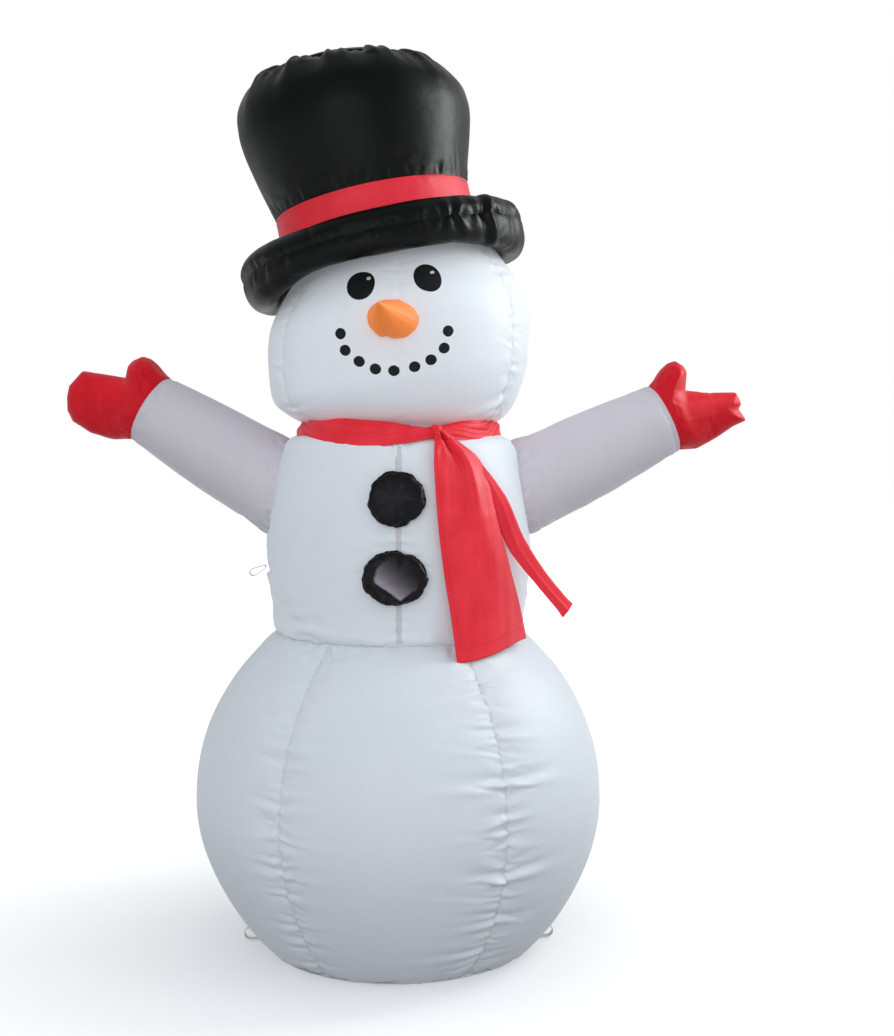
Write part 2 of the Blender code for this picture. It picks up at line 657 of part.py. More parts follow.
def make_zip():
    tapes = (("zip_tape_right", 180 - ZIP_TAPE_ANGLE - ZIP_TAPE_SPACE), ("zip_tape_left", 180 + ZIP_TAPE_SPACE))
    arc = arc_points(BALL_RADIUS + ZIP_TAPE_LIFT, ZIP_TOP, ZIP_BOTTOM, 10)
    outline = [(x, y + BALL_HEIGHT) for x, y in arc]
    for name, start in tapes:
        tape = turned(name, outline, "zip_tape", sweep=ZIP_TAPE_ANGLE, steps=1)
        tape.rotation_euler.z = math.radians(start - 90)
        add_shell(tape, ZIP_TAPE_THICKNESS)
    stops = (("zip_top_stop", ZIP_TOP - ZIP_STOP_INSET), ("zip_bottom_stop", ZIP_BOTTOM + ZIP_STOP_INSET))
    for name, elevation in stops:
        stop = box(name, ZIP_STOP_SIZE, "zip_metal")
        stop.location = on_back_of_ball(elevation, ZIP_STOP_LIFT)
        stop.rotation_euler.x = math.radians(elevation)
    slider_elevation = ZIP_TOP - SLIDER_PARKED
    slider = box("zip_slider", SLIDER_SIZE, "zip_metal")
    slider.location = on_back_of_ball(slider_elevation, SLIDER_LIFT + SLIDER_SIZE[1] / 2)
    slider.rotation_euler.x = math.radians(slider_elevation)
    bevel = slider.modifiers.new("edges", "BEVEL")
    bevel.width = SLIDER_EDGE
    bevel.segments = 1
    pull = box("zip_pull", PULL_SIZE, "zip_metal")
    pull.data.transform(Matrix.Translation((0, 0, -PULL_SIZE[2] / 2)))
    lower_end = slider_elevation - math.degrees((SLIDER_SIZE[2] / 2 + SLIDER_EDGE) / BALL_RADIUS)
    pull.location = on_back_of_ball(lower_end, PULL_LIFT)
    pull.rotation_euler.x = math.radians(lower_end - PULL_LEAN)


# ---- Blower -----------------------------------------------------------------------------------
def make_blower(panels):
    turn = math.radians(BLOWER_ELEVATION)
    axis = outward(BLOWER_BEARING) * math.cos(turn) + Vector((0, 0, math.sin(turn)))
    mouth = Vector((0, 0, BALL_HEIGHT)) + axis * BALL_RADIUS
    level = Vector((0, 0, 1)).cross(axis).normalized()
    frame = Matrix((level, axis.cross(level), axis)).transposed()
    blower = add_empty("blower_axis", mouth, frame.to_quaternion())

    port = make_cutter(cylinder("port_cutter", PORT_RADIUS, CUTTER_DEPTH, None, sides=28, parent=blower))
    cut(panels["base_right_back_panel"], port)

    duct = [
        (DUCT_OUTER, RING_LOW), (DUCT_OUTER, FLANGE_TOP), (FLANGE_RADIUS, FLANGE_TOP),
        (FLANGE_RADIUS, FLANGE_BOTTOM), (DUCT_OUTER, FLANGE_BOTTOM), (DUCT_OUTER, -DUCT_DEPTH),
        (DUCT_INNER, -DUCT_DEPTH), (DUCT_INNER, RING_LOW),
    ]
    turned("blower_housing", duct, "blower_plastic", steps=DUCT_STEPS, closed=True, parent=blower)
    seat = DUCT_OUTER + 0.0016         # radius of the ring's step, round the guard
    ring = [
        (FLANGE_RADIUS, RING_HIGH), (RING_RADIUS, RING_HIGH - 0.0025), (RING_RADIUS, RING_LOW),
        (seat, RING_LOW), (seat, RING_STEP), (RING_INNER, RING_STEP), (RING_INNER, RING_HIGH),
    ]
    turned("blower_clamp_ring", ring, "blower_plastic", steps=DUCT_STEPS, closed=True, parent=blower)
    make_guard(blower)
    make_impeller(blower)

    shaft = cylinder("blower_shaft", SHAFT_RADIUS, SHAFT_LENGTH, "steel", sides=10, parent=blower)
    shaft.location.z = HUB_BOTTOM - GAP - SHAFT_LENGTH / 2
    motor = [
        (MOTOR_OUTER, MOTOR_TOP), (MOTOR_OUTER, MOTOR_BOTTOM),
        (MOTOR_INNER, MOTOR_BOTTOM), (MOTOR_INNER, MOTOR_TOP),
    ]
    turned("blower_motor", motor, "steel", steps=18, closed=True, parent=blower)
    spider = []
    reach = DUCT_INNER * math.cos(math.pi / DUCT_STEPS) - GAP
    for i in range(3):
        centre = 120 * i
        spider += arc_points(reach, centre - BRACKET_ARM_HALF, centre + BRACKET_ARM_HALF, 3)
        spider += arc_points(BRACKET_WAIST, centre + 24, centre + 96, 3)
    bracket = flat_outline("blower_motor_bracket", [spider], BRACKET_THICKNESS, "blower_plastic", blower)
    bracket.location.z = MOTOR_BOTTOM - GAP - BRACKET_THICKNESS / 2
    socket = turned("power_inlet", INLET_OUTLINE, "blower_plastic", steps=12, closed=True, parent=blower)
    socket.location = (0, -INLET_OFFSET, 0)


def make_impeller(blower):
    """A hub and its blades, joined."""
    profile = [(0, HUB_TOP), (HUB_RADIUS, HUB_TOP), (HUB_RADIUS, HUB_BOTTOM), (0, HUB_BOTTOM)]
    hub = turned("blower_impeller", profile, "fan_plastic", steps=18, parent=blower)
    root = HUB_RADIUS - 0.003          # each blade starts inside the hub
    span = BLADE_TIP_RADIUS - root
    form = bmesh.new()
    for i in range(BLADES):
        made = bmesh.ops.create_cube(form, size=1)["verts"]
        bmesh.ops.scale(form, vec=(span, BLADE_THICKNESS, BLADE_CHORD), verts=made)
        pitch = Matrix.Rotation(math.radians(BLADE_PITCH), 4, "X")
        place = Matrix.Translation((root + span / 2, 0, (HUB_TOP + HUB_BOTTOM) / 2))
        spin = Matrix.Rotation(2 * math.pi * i / BLADES, 4, "Z")
        bmesh.ops.transform(form, matrix=spin @ place @ pitch, verts=made)
    blades = make_cutter(add_piece("blade_set", mesh_from("blade_set", form), None, blower))
    union = hub.modifiers.new("blades", "BOOLEAN")
    union.operation = "UNION"
    union.object = blades


def make_guard(blower):
    """Round plate with curved slots that let air in and keep fingers out."""
    loops = [arc_points(DUCT_OUTER, 0, 360 - 15, 24)]
    for inner, outer, count in GUARD_SLOTS:
        for i in range(count):
            start = 360 / count * i + GUARD_RIB_HALF
            end = 360 / count * (i + 1) - GUARD_RIB_HALF
            loops.append(arc_points(outer, start, end, 5) + arc_points(inner, end, start, 4))
    guard = flat_outline("blower_guard", loops, GUARD_THICKNESS, "blower_plastic", blower)
    guard.location.z = RING_LOW + GAP + GUARD_THICKNESS / 2


# ---- Lights -----------------------------------------------------------------------------------
def make_lights():
    """Two lamp modules on a wire that runs up inside the back of the envelope."""
    curve = bpy.data.curves.new("lamp_wire", "CURVE")
    curve.dimensions = "3D"
    curve.bevel_depth = LAMP_WIRE_RADIUS
    curve.bevel_resolution = 2
    curve.use_fill_caps = True
    spline = curve.splines.new("POLY")
    spline.points.add(len(LAMP_ROUTE) - 1)
    for point, place in zip(spline.points, LAMP_ROUTE):
        point.co = (*place, 1)
    wire = add_piece("lamp_wire", curve, "wire_plastic")
    weld = wire.modifiers.new("weld", "WELD")
    weld.merge_threshold = WELD
    lamps = (("lower_lamp", LAMP_ROUTE[0], -LAMP_LIFT), ("upper_lamp", LAMP_ROUTE[-1], LAMP_LIFT))
    for name, end, lift in lamps:
        lamp = ellipsoid(name, LAMP_HALF_SIZES, "lamp_plastic", segments=10, rings=6)
        lamp.location = end + Vector((0, 0, lift))


base_panels = make_base()
make_chest()
make_head()
make_hat()
make_arms()
make_scarf()
make_buttons()
make_loops()
make_zip()
make_blower(base_panels)
make_lights()
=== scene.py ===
"""Inflatable yard snowman: the visual model over its CAD frame.

Metres, +Z up, and the snowman faces -Y. Bearings are degrees round +Z: 0 is the front (-Y), 90 is +X.
"""
import math

import bmesh
import bpy
import numpy as np
from mathutils import Matrix, Vector
from mathutils.bvhtree import BVHTree
from mathutils.geometry import delaunay_2d_cdt


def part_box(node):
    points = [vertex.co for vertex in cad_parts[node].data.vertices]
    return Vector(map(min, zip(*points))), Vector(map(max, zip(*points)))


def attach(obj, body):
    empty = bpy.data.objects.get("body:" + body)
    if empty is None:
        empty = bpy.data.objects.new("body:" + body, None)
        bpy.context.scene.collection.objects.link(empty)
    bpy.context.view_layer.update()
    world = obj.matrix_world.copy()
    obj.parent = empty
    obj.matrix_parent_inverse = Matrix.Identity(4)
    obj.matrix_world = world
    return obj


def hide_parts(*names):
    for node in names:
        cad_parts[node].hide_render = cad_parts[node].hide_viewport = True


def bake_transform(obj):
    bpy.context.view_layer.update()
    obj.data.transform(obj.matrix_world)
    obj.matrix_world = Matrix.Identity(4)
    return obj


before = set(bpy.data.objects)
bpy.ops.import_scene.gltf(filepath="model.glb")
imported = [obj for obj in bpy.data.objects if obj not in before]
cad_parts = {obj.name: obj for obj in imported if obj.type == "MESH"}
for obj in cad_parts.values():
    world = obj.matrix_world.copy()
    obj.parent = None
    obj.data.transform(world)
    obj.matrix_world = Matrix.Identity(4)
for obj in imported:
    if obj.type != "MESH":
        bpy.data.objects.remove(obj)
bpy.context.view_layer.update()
SCENE = bpy.context.scene

# ---- Camera and light ------------------------------------------------------------------------------
CAMERA_PLACE = (0, -3.1, 1.05)
CAMERA_PITCH, CAMERA_YAW = -1.8, -1.8      # degrees, down and to the right
CAMERA_LENS, CAMERA_SHIFT_UP = 53.5, -0.047
WORLD_COLOUR = (0.93, 0.97, 1.0)
WORLD_STRENGTHS = (0.28, 0.73)             # from below and from above
FLOOR_HALF_SIDE = 14
# (name, place, target, size, watts, colour); "gloss" only shows in reflections
LIGHTS = [
    ("front", (-0.9, -4.6, 1.6), (0, 0, 0.9), (3.2, 2.6), 61, (0.97, 0.98, 1.0)),
    ("key", (3.0, -1.4, 1.9), (0, 0, 1.1), (1.6, 2.2), 12, (1.0, 0.99, 0.97)),
    ("rim", (2.9, 1.2, 1.9), (0, 0, 1.2), (2.3, 2.6), 24, (1.0, 1.0, 0.985)),
    ("edge", (2.0, 0.15, 2.25), (0.1, 0, 1.6), (0.6, 1.2), 14, (0.94, 1.0, 1.0)),
    ("gloss", (2.6, 0.30, 2.0), (0.1, 0, 1.6), (0.9, 1.6), 85, (0.94, 1.0, 1.0)),
]


def placed(name, data, location, rotation=(0, 0, 0)):
    thing = bpy.data.objects.new(name, data)
    thing.location = location
    thing.rotation_euler = rotation
    SCENE.collection.objects.link(thing)
    return thing


def make_camera():
    data = bpy.data.cameras.new("camera")
    data.lens = CAMERA_LENS
    data.sensor_width = 36
    data.shift_y = CAMERA_SHIFT_UP
    SCENE.camera = placed("camera", data, CAMERA_PLACE,
                          (math.radians(90 + CAMERA_PITCH), 0, math.radians(CAMERA_YAW)))


def make_lights():
    for name, place, target, size, power, colour in LIGHTS:
        data = bpy.data.lights.new(name, "AREA")
        data.shape = "RECTANGLE"
        data.size, data.size_y = size
        data.energy = power
        data.color = colour
        turn = (Vector(target) - Vector(place)).to_track_quat("-Z", "Y").to_euler()
        placed(name, data, place, turn).visible_diffuse = name != "gloss"


def make_world():
    """White paper to the camera, and soft light that is weaker from below to everything else."""
    world = bpy.data.worlds.new("studio")
    world.use_nodes = True
    tree = world.node_tree
    soft = tree.nodes["Background"]
    soft.inputs["Color"].default_value = (*WORLD_COLOUR, 1)
    paper, ray, mix, direction, split, height = (
        tree.nodes.new("ShaderNode" + kind)
        for kind in ("Background", "LightPath", "MixShader", "TexCoord", "SeparateXYZ", "MapRange"))
    for socket, number in zip(height.inputs[1:5], (-0.45, 0.35, *WORLD_STRENGTHS)):
        socket.default_value = number
    paper.inputs["Color"].default_value = (1, 1, 1, 1)
    for source, target in ((direction.outputs["Generated"], split.inputs[0]),
                           (split.outputs[2], height.inputs[0]), (height.outputs[0], soft.inputs["Strength"]),
                           (ray.outputs["Is Camera Ray"], mix.inputs["Fac"]), (soft.outputs[0], mix.inputs[1]),
                           (paper.outputs[0], mix.inputs[2]),
                           (mix.outputs[0], tree.nodes["World Output"].inputs["Surface"])):
        tree.links.new(source, target)
    SCENE.world = world
    SCENE.view_settings.view_transform = "Standard"


def make_floor():
    form = bmesh.new()
    bmesh.ops.create_grid(form, x_segments=8, y_segments=8, size=FLOOR_HALF_SIDE)
    mesh = bpy.data.meshes.new("floor")
    form.to_mesh(mesh)
    form.free()
    mesh.materials.append(floor_material())
    floor = placed("floor", mesh, (0, 0, -0.001))
    floor.visible_diffuse = False      # its bounce light comes from the world's lower half


# ---- Node materials --------------------------------------------------------------------------------
class Nodes:
    """Short way to build a node tree whose last node is a Principled shader."""

    def __init__(self, name):
        self.material = bpy.data.materials.new(name)
        self.material.use_nodes = True
        self.tree = self.material.node_tree
        self.shader = self.tree.nodes["Principled BSDF"]
        self.place = self.tree.nodes.new("ShaderNodeTexCoord")

    def feed(self, socket, value):
        if isinstance(value, bpy.types.NodeSocket):
            self.tree.links.new(value, socket)
        else:
            socket.default_value = value

    def new(self, kind, fed=None, **settings):
        """A node with its settings, then its inputs by name."""
        node = self.tree.nodes.new("ShaderNode" + kind)
        for key, value in settings.items():
            setattr(node, key, value)
        for key, value in (fed or {}).items():
            self.feed(node.inputs[key], value)
        return node

    def math(self, operation, *values):
        node = self.new("Math", operation=operation)
        for socket, value in zip(node.inputs, values):
            self.feed(socket, value)
        return node.outputs[0]

    def mapped(self, source, scale=(1, 1, 1), turn=(0, 0, 0)):
        fed = {"Vector": self.place.outputs[source], "Scale": scale, "Rotation": turn}
        return self.new("Mapping", fed).outputs[0]

    def noise(self, vector, scale=1.0, detail=2.0, roughness=0.5):
        fed = {"Vector": vector, "Scale": scale, "Detail": detail, "Roughness": roughness}
        return self.new("TexNoise", fed).outputs["Fac"]

    def wave(self, vector, scale, direction="X", distortion=0.0):
        fed = {"Vector": vector, "Scale": scale, "Distortion": distortion}
        return self.new("TexWave", fed, bands_direction=direction).outputs["Fac"]

    def ramp(self, value, low, high, start=0.3, end=0.7):
        node = self.new("ValToRGB")
        node.color_ramp.elements[0].position = start
        node.color_ramp.elements[1].position = end
        node.color_ramp.elements[0].color = (*low, 1)
        node.color_ramp.elements[1].color = (*high, 1)
        self.feed(node.inputs["Fac"], value)
        return node.outputs["Color"]

    def mix(self, factor, first, second, blend="MIX"):
        fed = {"Factor": factor, "A": first, "B": second}
        return self.new("Mix", fed, data_type="RGBA", blend_type=blend).outputs["Result"]

    def span(self, value, low, high, out_low, out_high):
        node = self.new("MapRange")
        for socket, number in zip(node.inputs, (value, low, high, out_low, out_high)):
            self.feed(socket, number)
        return node.outputs[0]

    def bump(self, height, strength, distance, under=None):
        fed = {"Height": height, "Strength": strength, "Distance": distance}
        return self.new("Bump", fed if under is None else {**fed, "Normal": under}).outputs["Normal"]

    def finish(self, colour, roughness, normal, metallic=0.0, specular=0.5, sheen=0.0, glow=None):
        inputs = self.shader.inputs
        self.feed(inputs["Base Color"], colour)
        self.feed(inputs["Roughness"], roughness)
        inputs["Metallic"].default_value = metallic
        inputs["Specular IOR Level"].default_value = specular
        inputs["Sheen Weight"].default_value = sheen
        inputs["Sheen Roughness"].default_value = 0.4
        self.feed(inputs["Normal"], normal)
        if glow is not None:
            inputs["Emission Color"].default_value = (*glow[0], 1)
            inputs["Emission Strength"].default_value = glow[1]
        return self.material


THREAD = 0.0011          # pitch of the nylon's threads
WAVE_UNIT = 0.31416      # a wave texture's period at scale 1
STITCH_INSET, STITCH_PITCH = 0.0026, 0.0036     # needle holes: distance in from a seam, and apart
PAINTED_SHEEN_FOOT = (0.0030, 0.7190)                  # across and up, where the painted highlight on the lower button ends in a point


def shaded(colour, amount):
    """A colour made darker or lighter, with its alpha."""
    return (*[min(1, c * amount) for c in colour], 1)


def nylon(name, colour, shade, roughness=0.48, sheen=0.12, specular=0.4, streak=0.5, seamed=True,
          slub=0.25, glow=None, rub=None):
    """Woven polyester cloth: fine threads, slubs along the warp, soft blotches, needle holes and painted crease
    shade at seams, and a painted highlight where one is given.

    A seamed piece's UV is (distance from the nearest seam, distance along it), in metres.
    """
    make = Nodes(name)
    cloth = make.mapped("UV" if seamed else "Object")
    blotch = make.noise(make.mapped("Object", (1, 1, 0.8)), 5.5, 3.0, 0.55)
    streaks = make.noise(make.mapped("Object", (95, 95, 3.0)), 1.0, 3.0, 0.6)
    slubs = make.noise(make.mapped("Object", (14, 14, 420)), 1.0, 2.0, 0.5)
    weave = make.math("MULTIPLY", *(make.wave(cloth, WAVE_UNIT / THREAD, way, 0.4) for way in "XY"))
    tone = make.math("ADD", make.span(blotch, 0.3, 0.7, 0.0, 1 - streak), make.span(streaks, 0.3, 0.7, 0.0, streak))
    base = make.ramp(tone, shade, colour, 0.05, 0.95)
    base = make.mix(make.span(slubs, 0.62, 0.75, 0.0, slub * 0.35), base, shaded(shade, 0.86))
    base = make.mix(make.span(weave, 0.0, 1.0, 0.10, 0.0), base, shaded(shade, 0.7))
    height = make.math("ADD", make.math("MULTIPLY", weave, 0.5), make.math("MULTIPLY", slubs, 0.6))
    if seamed:
        split = make.new("SeparateXYZ")
        make.feed(split.inputs[0], make.place.outputs["UV"])
        off = make.math("ABSOLUTE", make.math("SUBTRACT", split.outputs[0], STITCH_INSET))
        line = make.span(off, 0.0004, 0.0009, 1.0, 0.0)
        step = make.math("FRACT", make.math("DIVIDE", split.outputs[1], STITCH_PITCH))
        hole = make.math("MULTIPLY", line, make.math("LESS_THAN", step, 0.55))
        # painted shade: the cloth is darkened in the crease where it rolls into a seam
        painted_crease_shade = make.span(split.outputs[0], 0.0, 0.0013, 0.28, 0.0)
        base = make.mix(make.math("MULTIPLY", hole, 0.20), base, shaded(shade, 0.45))
        base = make.mix(painted_crease_shade, base, shaded(shade, 0.5))
        height = make.math("SUBTRACT", height, make.math("MULTIPLY", hole, 1.6))
    # painted highlight: a grey sheen mixed into the base colour, when one is given
    if rub:
        base = rub(make, base)
    normal = make.bump(make.noise(make.mapped("Object"), 38.0, 4.0, 0.55), 0.35, 0.0022)
    normal = make.bump(height, 0.35, 0.0003, normal)
    rough = make.span(blotch, 0.3, 0.7, roughness - 0.05, roughness + 0.06)
    return make.finish(base, rough, normal, sheen=sheen, specular=specular, glow=glow)


def painted_sheen_wedge(make, base):
    """A painted grey highlight over the lower button's taut middle: a disc cut to a point at its foot."""
    split = make.new("SeparateXYZ")
    make.feed(split.inputs[0], make.place.outputs["Object"])
    across, up = (make.math("SUBTRACT", split.outputs[axis], start) for axis, start in zip((0, 2), PAINTED_SHEEN_FOOT))
    wander = make.math("SUBTRACT", make.noise(make.mapped("Object"), 70.0, 3.0), 0.5)
    wander = make.math("MULTIPLY", wander, 0.010)
    edge = make.math("ADD", make.math("MULTIPLY", up, 1.45), wander)
    wedge = make.span(make.math("SUBTRACT", make.math("ABSOLUTE", across), edge), -0.006, 0.0008, 1.0, 0.0)
    from_middle = (make.math("ADD", across, 0.0060), make.math("SUBTRACT", up, 0.040))
    ring = make.math("SQRT", make.math("ADD", *(make.math("MULTIPLY", off, off) for off in from_middle)))
    disc = make.span(make.math("ADD", ring, wander), 0.0385, 0.0435, 1.0, 0.0)
    slant = make.math("ADD", make.math("MULTIPLY", across, 0.62), make.math("MULTIPLY", up, 0.78))
    fade = make.math("POWER", make.span(slant, -0.008, 0.062, 1.0, 0.0), 2.3)
    amount = make.math("MULTIPLY", make.math("MULTIPLY", wedge, disc), fade)
    return make.mix(amount, base, (0.46, 0.41, 0.50, 1))


def satin(name, colour, shade, roughness=0.38, sheen=0.2, specular=0.4):
    """Thin scarf cloth: a soft lustre along the weft and fine creases."""
    make = Nodes(name)
    cloth = make.mapped("UV")
    weft = make.wave(cloth, WAVE_UNIT / 0.0007, "Y", 0.6)
    warp = make.wave(cloth, WAVE_UNIT / 0.0009, "X", 0.6)
    slub = make.noise(make.mapped("UV", (60, 900, 1)), 1.0, 2.0, 0.5)
    broad = make.noise(make.mapped("Object", (1, 1, 0.6)), 13.0, 3.0, 0.55)
    base = make.ramp(broad, shade, colour, 0.32, 0.68)
    base = make.mix(make.span(slub, 0.5, 0.75, 0.0, 0.28), base, (*[min(1, c * 1.25 + 0.02) for c in colour], 1))
    base = make.mix(make.span(weft, 0.0, 1.0, 0.12, 0.0), base, shaded(shade, 0.6))
    height = make.math("ADD", make.math("MULTIPLY", weft, 0.6), make.math("MULTIPLY", warp, 0.3))
    normal = make.bump(make.noise(make.mapped("Object", (1, 1, 0.5)), 60.0, 4.0, 0.6), 0.35, 0.002)
    normal = make.bump(height, 0.3, 0.0003, normal)
    rough = make.span(broad, 0.3, 0.7, roughness - 0.05, roughness + 0.07)
    return make.finish(base, rough, normal, sheen=sheen, specular=specular)


def webbing(name, colour, shade):
    """Narrow woven tape with a diagonal twill."""
    make = Nodes(name)
    twill = make.wave(make.mapped("Object", (1, 1, 1), (0.4, 0.3, 0.8)), WAVE_UNIT / 0.0016, "DIAGONAL", 0.5)
    dirt = make.noise(make.mapped("Object"), 70.0, 4.0, 0.6)
    base = make.ramp(dirt, shade, colour, 0.3, 0.7)
    base = make.mix(make.span(twill, 0, 1, 0.25, 0.0), base, shaded(shade, 0.7))
    normal = make.bump(make.math("ADD", twill, dirt), 0.5, 0.0005)
    return make.finish(base, make.span(dirt, 0.3, 0.7, 0.75, 0.9), normal, sheen=0.2, specular=0.25)


def plastic(name, colour, shade, roughness=0.42, grain=900.0, specular=0.5):
    """Moulded plastic with a fine spark-eroded grain and faint scuffs."""
    make = Nodes(name)
    fine = make.noise(make.mapped("Object"), grain, 3.0, 0.6)
    broad = make.noise(make.mapped("Object"), 26.0, 4.0, 0.6)
    scuff = make.noise(make.mapped("Object", (30, 160, 60)), 1.0, 4.0, 0.7)
    base = make.ramp(broad, shade, colour, 0.3, 0.7)
    base = make.mix(make.span(scuff, 0.66, 0.78, 0.0, 0.3), base, (*[min(1, c * 2 + 0.05) for c in colour], 1))
    normal = make.bump(fine, 0.3, 0.0003)
    return make.finish(base, make.span(broad, 0.3, 0.7, roughness - 0.08, roughness + 0.12), normal,
                       specular=specular)


def metal(name, colour, shade, roughness=0.32):
    """Die-cast or turned metal with fine drawing marks and dulled patches."""
    make = Nodes(name)
    marks = make.noise(make.mapped("Object", (900, 900, 60)), 1.0, 3.0, 0.6)
    patches = make.noise(make.mapped("Object"), 120.0, 4.0, 0.6)
    base = make.ramp(patches, shade, colour, 0.3, 0.7)
    normal = make.bump(marks, 0.25, 0.0002)
    return make.finish(base, make.span(patches, 0.3, 0.7, roughness - 0.06, roughness + 0.16), normal,
                       metallic=1.0)


def printed(name, colour, shade):
    """Screen-printed ink on the cloth, with the weave showing through."""
    make = Nodes(name)
    weave = make.math("MULTIPLY", *(make.wave(make.mapped("Object"), WAVE_UNIT / THREAD, way, 0.5) for way in "XZ"))
    patchy = make.noise(make.mapped("Object"), 90.0, 3.0, 0.6)
    base = make.ramp(patchy, shade, colour, 0.3, 0.7)
    return make.finish(base, make.span(patchy, 0.3, 0.7, 0.5, 0.62), make.bump(weave, 0.3, 0.0003), specular=0.1)


def floor_material():
    make = Nodes("floor")
    tone = make.noise(make.mapped("Object"), 1.3, 3.0, 0.5)
    grain = make.noise(make.mapped("Object"), 160.0, 2.0, 0.5)
    base = make.ramp(tone, (0.80, 0.80, 0.81), (0.83, 0.83, 0.84), 0.3, 0.7)
    far = make.new("VectorMath", operation="LENGTH")
    make.feed(far.inputs[0], make.mapped("Object"))
    make.shader.inputs["Emission Color"].default_value = (1, 1, 1, 1)
    make.feed(make.shader.inputs["Emission Strength"], make.span(far.outputs["Value"], 0.4, 2.2, 0.22, 0.72))
    return make.finish(base, 0.85, make.bump(grain, 0.1, 0.0005), specular=0.1)


WHITE = ((0.74, 0.78, 0.83), (0.70, 0.74, 0.80))
BUTTON_BLACK = ((0.007, 0.0063, 0.0076), (0.004, 0.004, 0.005))
PAINTED_GLOW = (0.95, 0.97, 1.0)           # painted glow that brightens the head and, less, the chest, and lifts their shade
PALE = {"specular": 0.16, "sheen": 0.05, "streak": 0.3, "slub": 0.12}
MATT = {"sheen": 0.0, "specular": 0.10, "seamed": False}
LOOKS = {name: maker(name, *colours, **settings) for name, maker, colours, settings in (
    ("white_nylon", nylon, WHITE, PALE),
    # head and chest cloth with a painted glow standing in for light and lifting shade
    ("lit_nylon", nylon, WHITE, {**PALE, "glow": (PAINTED_GLOW, 0.125)}),
    ("dim_nylon", nylon, WHITE, {**PALE, "glow": (PAINTED_GLOW, 0.055)}),
    ("sleeve_nylon", nylon, ((0.66, 0.63, 0.68), (0.62, 0.59, 0.65)), {**PALE, "specular": 0.3}),
    ("black_nylon", nylon, ((0.0018, 0.0021, 0.0018), (0.0010, 0.0012, 0.0010)),
     {"roughness": 0.37, "sheen": 0.0, "specular": 0.095}),
    # the lower button's cloth, with a painted grey highlight on its middle
    ("rubbed_nylon", nylon, BUTTON_BLACK, {**MATT, "roughness": 0.30, "rub": painted_sheen_wedge}),
    ("button_nylon", nylon, BUTTON_BLACK, {**MATT, "roughness": 0.34}),
    ("red_nylon", nylon, ((0.80, 0.017, 0.032), (0.63, 0.010, 0.020)),
     {"roughness": 0.45, "sheen": 0.02, "seamed": False, "specular": 0.08}),
    ("red_satin", satin, ((0.97, 0.040, 0.066), (0.80, 0.021, 0.036)), {"sheen": 0.03, "specular": 0.14}),
    # the nose's glow is painted light that brightens its orange cloth
    ("orange_nylon", nylon, ((0.98, 0.30, 0.075), (0.90, 0.22, 0.04)),
     {"roughness": 0.5, "sheen": 0.0, "specular": 0.12, "glow": ((1.0, 0.27, 0.05), 0.24)}),
    ("face_ink", printed, ((0.0125, 0.014, 0.0155), (0.008, 0.009, 0.010)), {}),
    ("eye_glint", printed, ((0.62, 0.68, 0.68), (0.50, 0.56, 0.56)), {}),
    ("white_webbing", webbing, ((0.88, 0.89, 0.90), (0.78, 0.80, 0.82)), {}),
    ("zip_tape", webbing, ((0.74, 0.76, 0.80), (0.64, 0.66, 0.70)), {}),
    ("white_thread", webbing, ((0.78, 0.79, 0.82), (0.68, 0.69, 0.72)), {}),
    ("red_thread", webbing, ((0.60, 0.03, 0.05), (0.45, 0.02, 0.03)), {}),
    ("zip_metal", metal, ((0.62, 0.63, 0.64), (0.50, 0.51, 0.52)), {}),
    ("steel", metal, ((0.56, 0.57, 0.59), (0.44, 0.45, 0.47)), {"roughness": 0.28}),
    ("blower_plastic", plastic, ((0.032, 0.032, 0.034), (0.022, 0.022, 0.024)), {}),
    ("fan_plastic", plastic, ((0.11, 0.11, 0.12), (0.08, 0.08, 0.09)), {}),
    ("lamp_plastic", plastic, ((0.86, 0.88, 0.90), (0.78, 0.80, 0.83)), {"roughness": 0.25}),
    ("wire_plastic", plastic, ((0.03, 0.03, 0.03), (0.018, 0.018, 0.018)), {}),
)}


# ---- Curves, grids and seams -----------------------------------------------------------------------
GRID_STEP = 0.0036       # distance between rows of points
TURN = 2 * math.pi
UP = np.array([0, 0, 1.0])
NEAR_TURN = 6.28


def outward(bearing):
    turn = np.radians(bearing)
    return np.stack([np.sin(turn), -np.cos(turn), np.zeros_like(turn)], -1)


def along(bearing):
    turn = np.radians(bearing)
    return np.stack([np.cos(turn), np.sin(turn), np.zeros_like(turn)], -1)


def smooth_step(value, low, high):
    share = np.clip((value - low) / (high - low), 0, 1)
    return share * share * (3 - 2 * share)


def smooth_curve(points, step=None, count=None):
    """Evenly spaced points on a smooth curve through the given ones."""
    given = np.array(points, float)
    ends = np.vstack([2 * given[0] - given[1], given, 2 * given[-1] - given[-2]])
    share = np.linspace(0, 1, 24, endpoint=False)[:, None]
    fine = []
    for a, b, c, d in zip(ends, ends[1:], ends[2:], ends[3:]):
        fine.append(0.5 * (2 * b + (c - a) * share + (2 * a - 5 * b + 4 * c - d) * share ** 2
                           + (3 * b - a - 3 * c + d) * share ** 3))
    fine = np.vstack(fine + [given[-1:]])
    run = np.concatenate([[0], np.cumsum(np.linalg.norm(np.diff(fine, axis=0), axis=1))])
    count = count or max(2, round(run[-1] / step) + 1)
    at = np.linspace(0, run[-1], count)
    return np.stack([np.interp(at, run, fine[:, k]) for k in range(given.shape[1])], 1)


def run_length(points):
    """Distance along each row of points from its first."""
    steps = np.linalg.norm(np.diff(points, axis=0), axis=-1)
    return np.concatenate([np.zeros_like(steps[:1]), np.cumsum(steps, axis=0)])


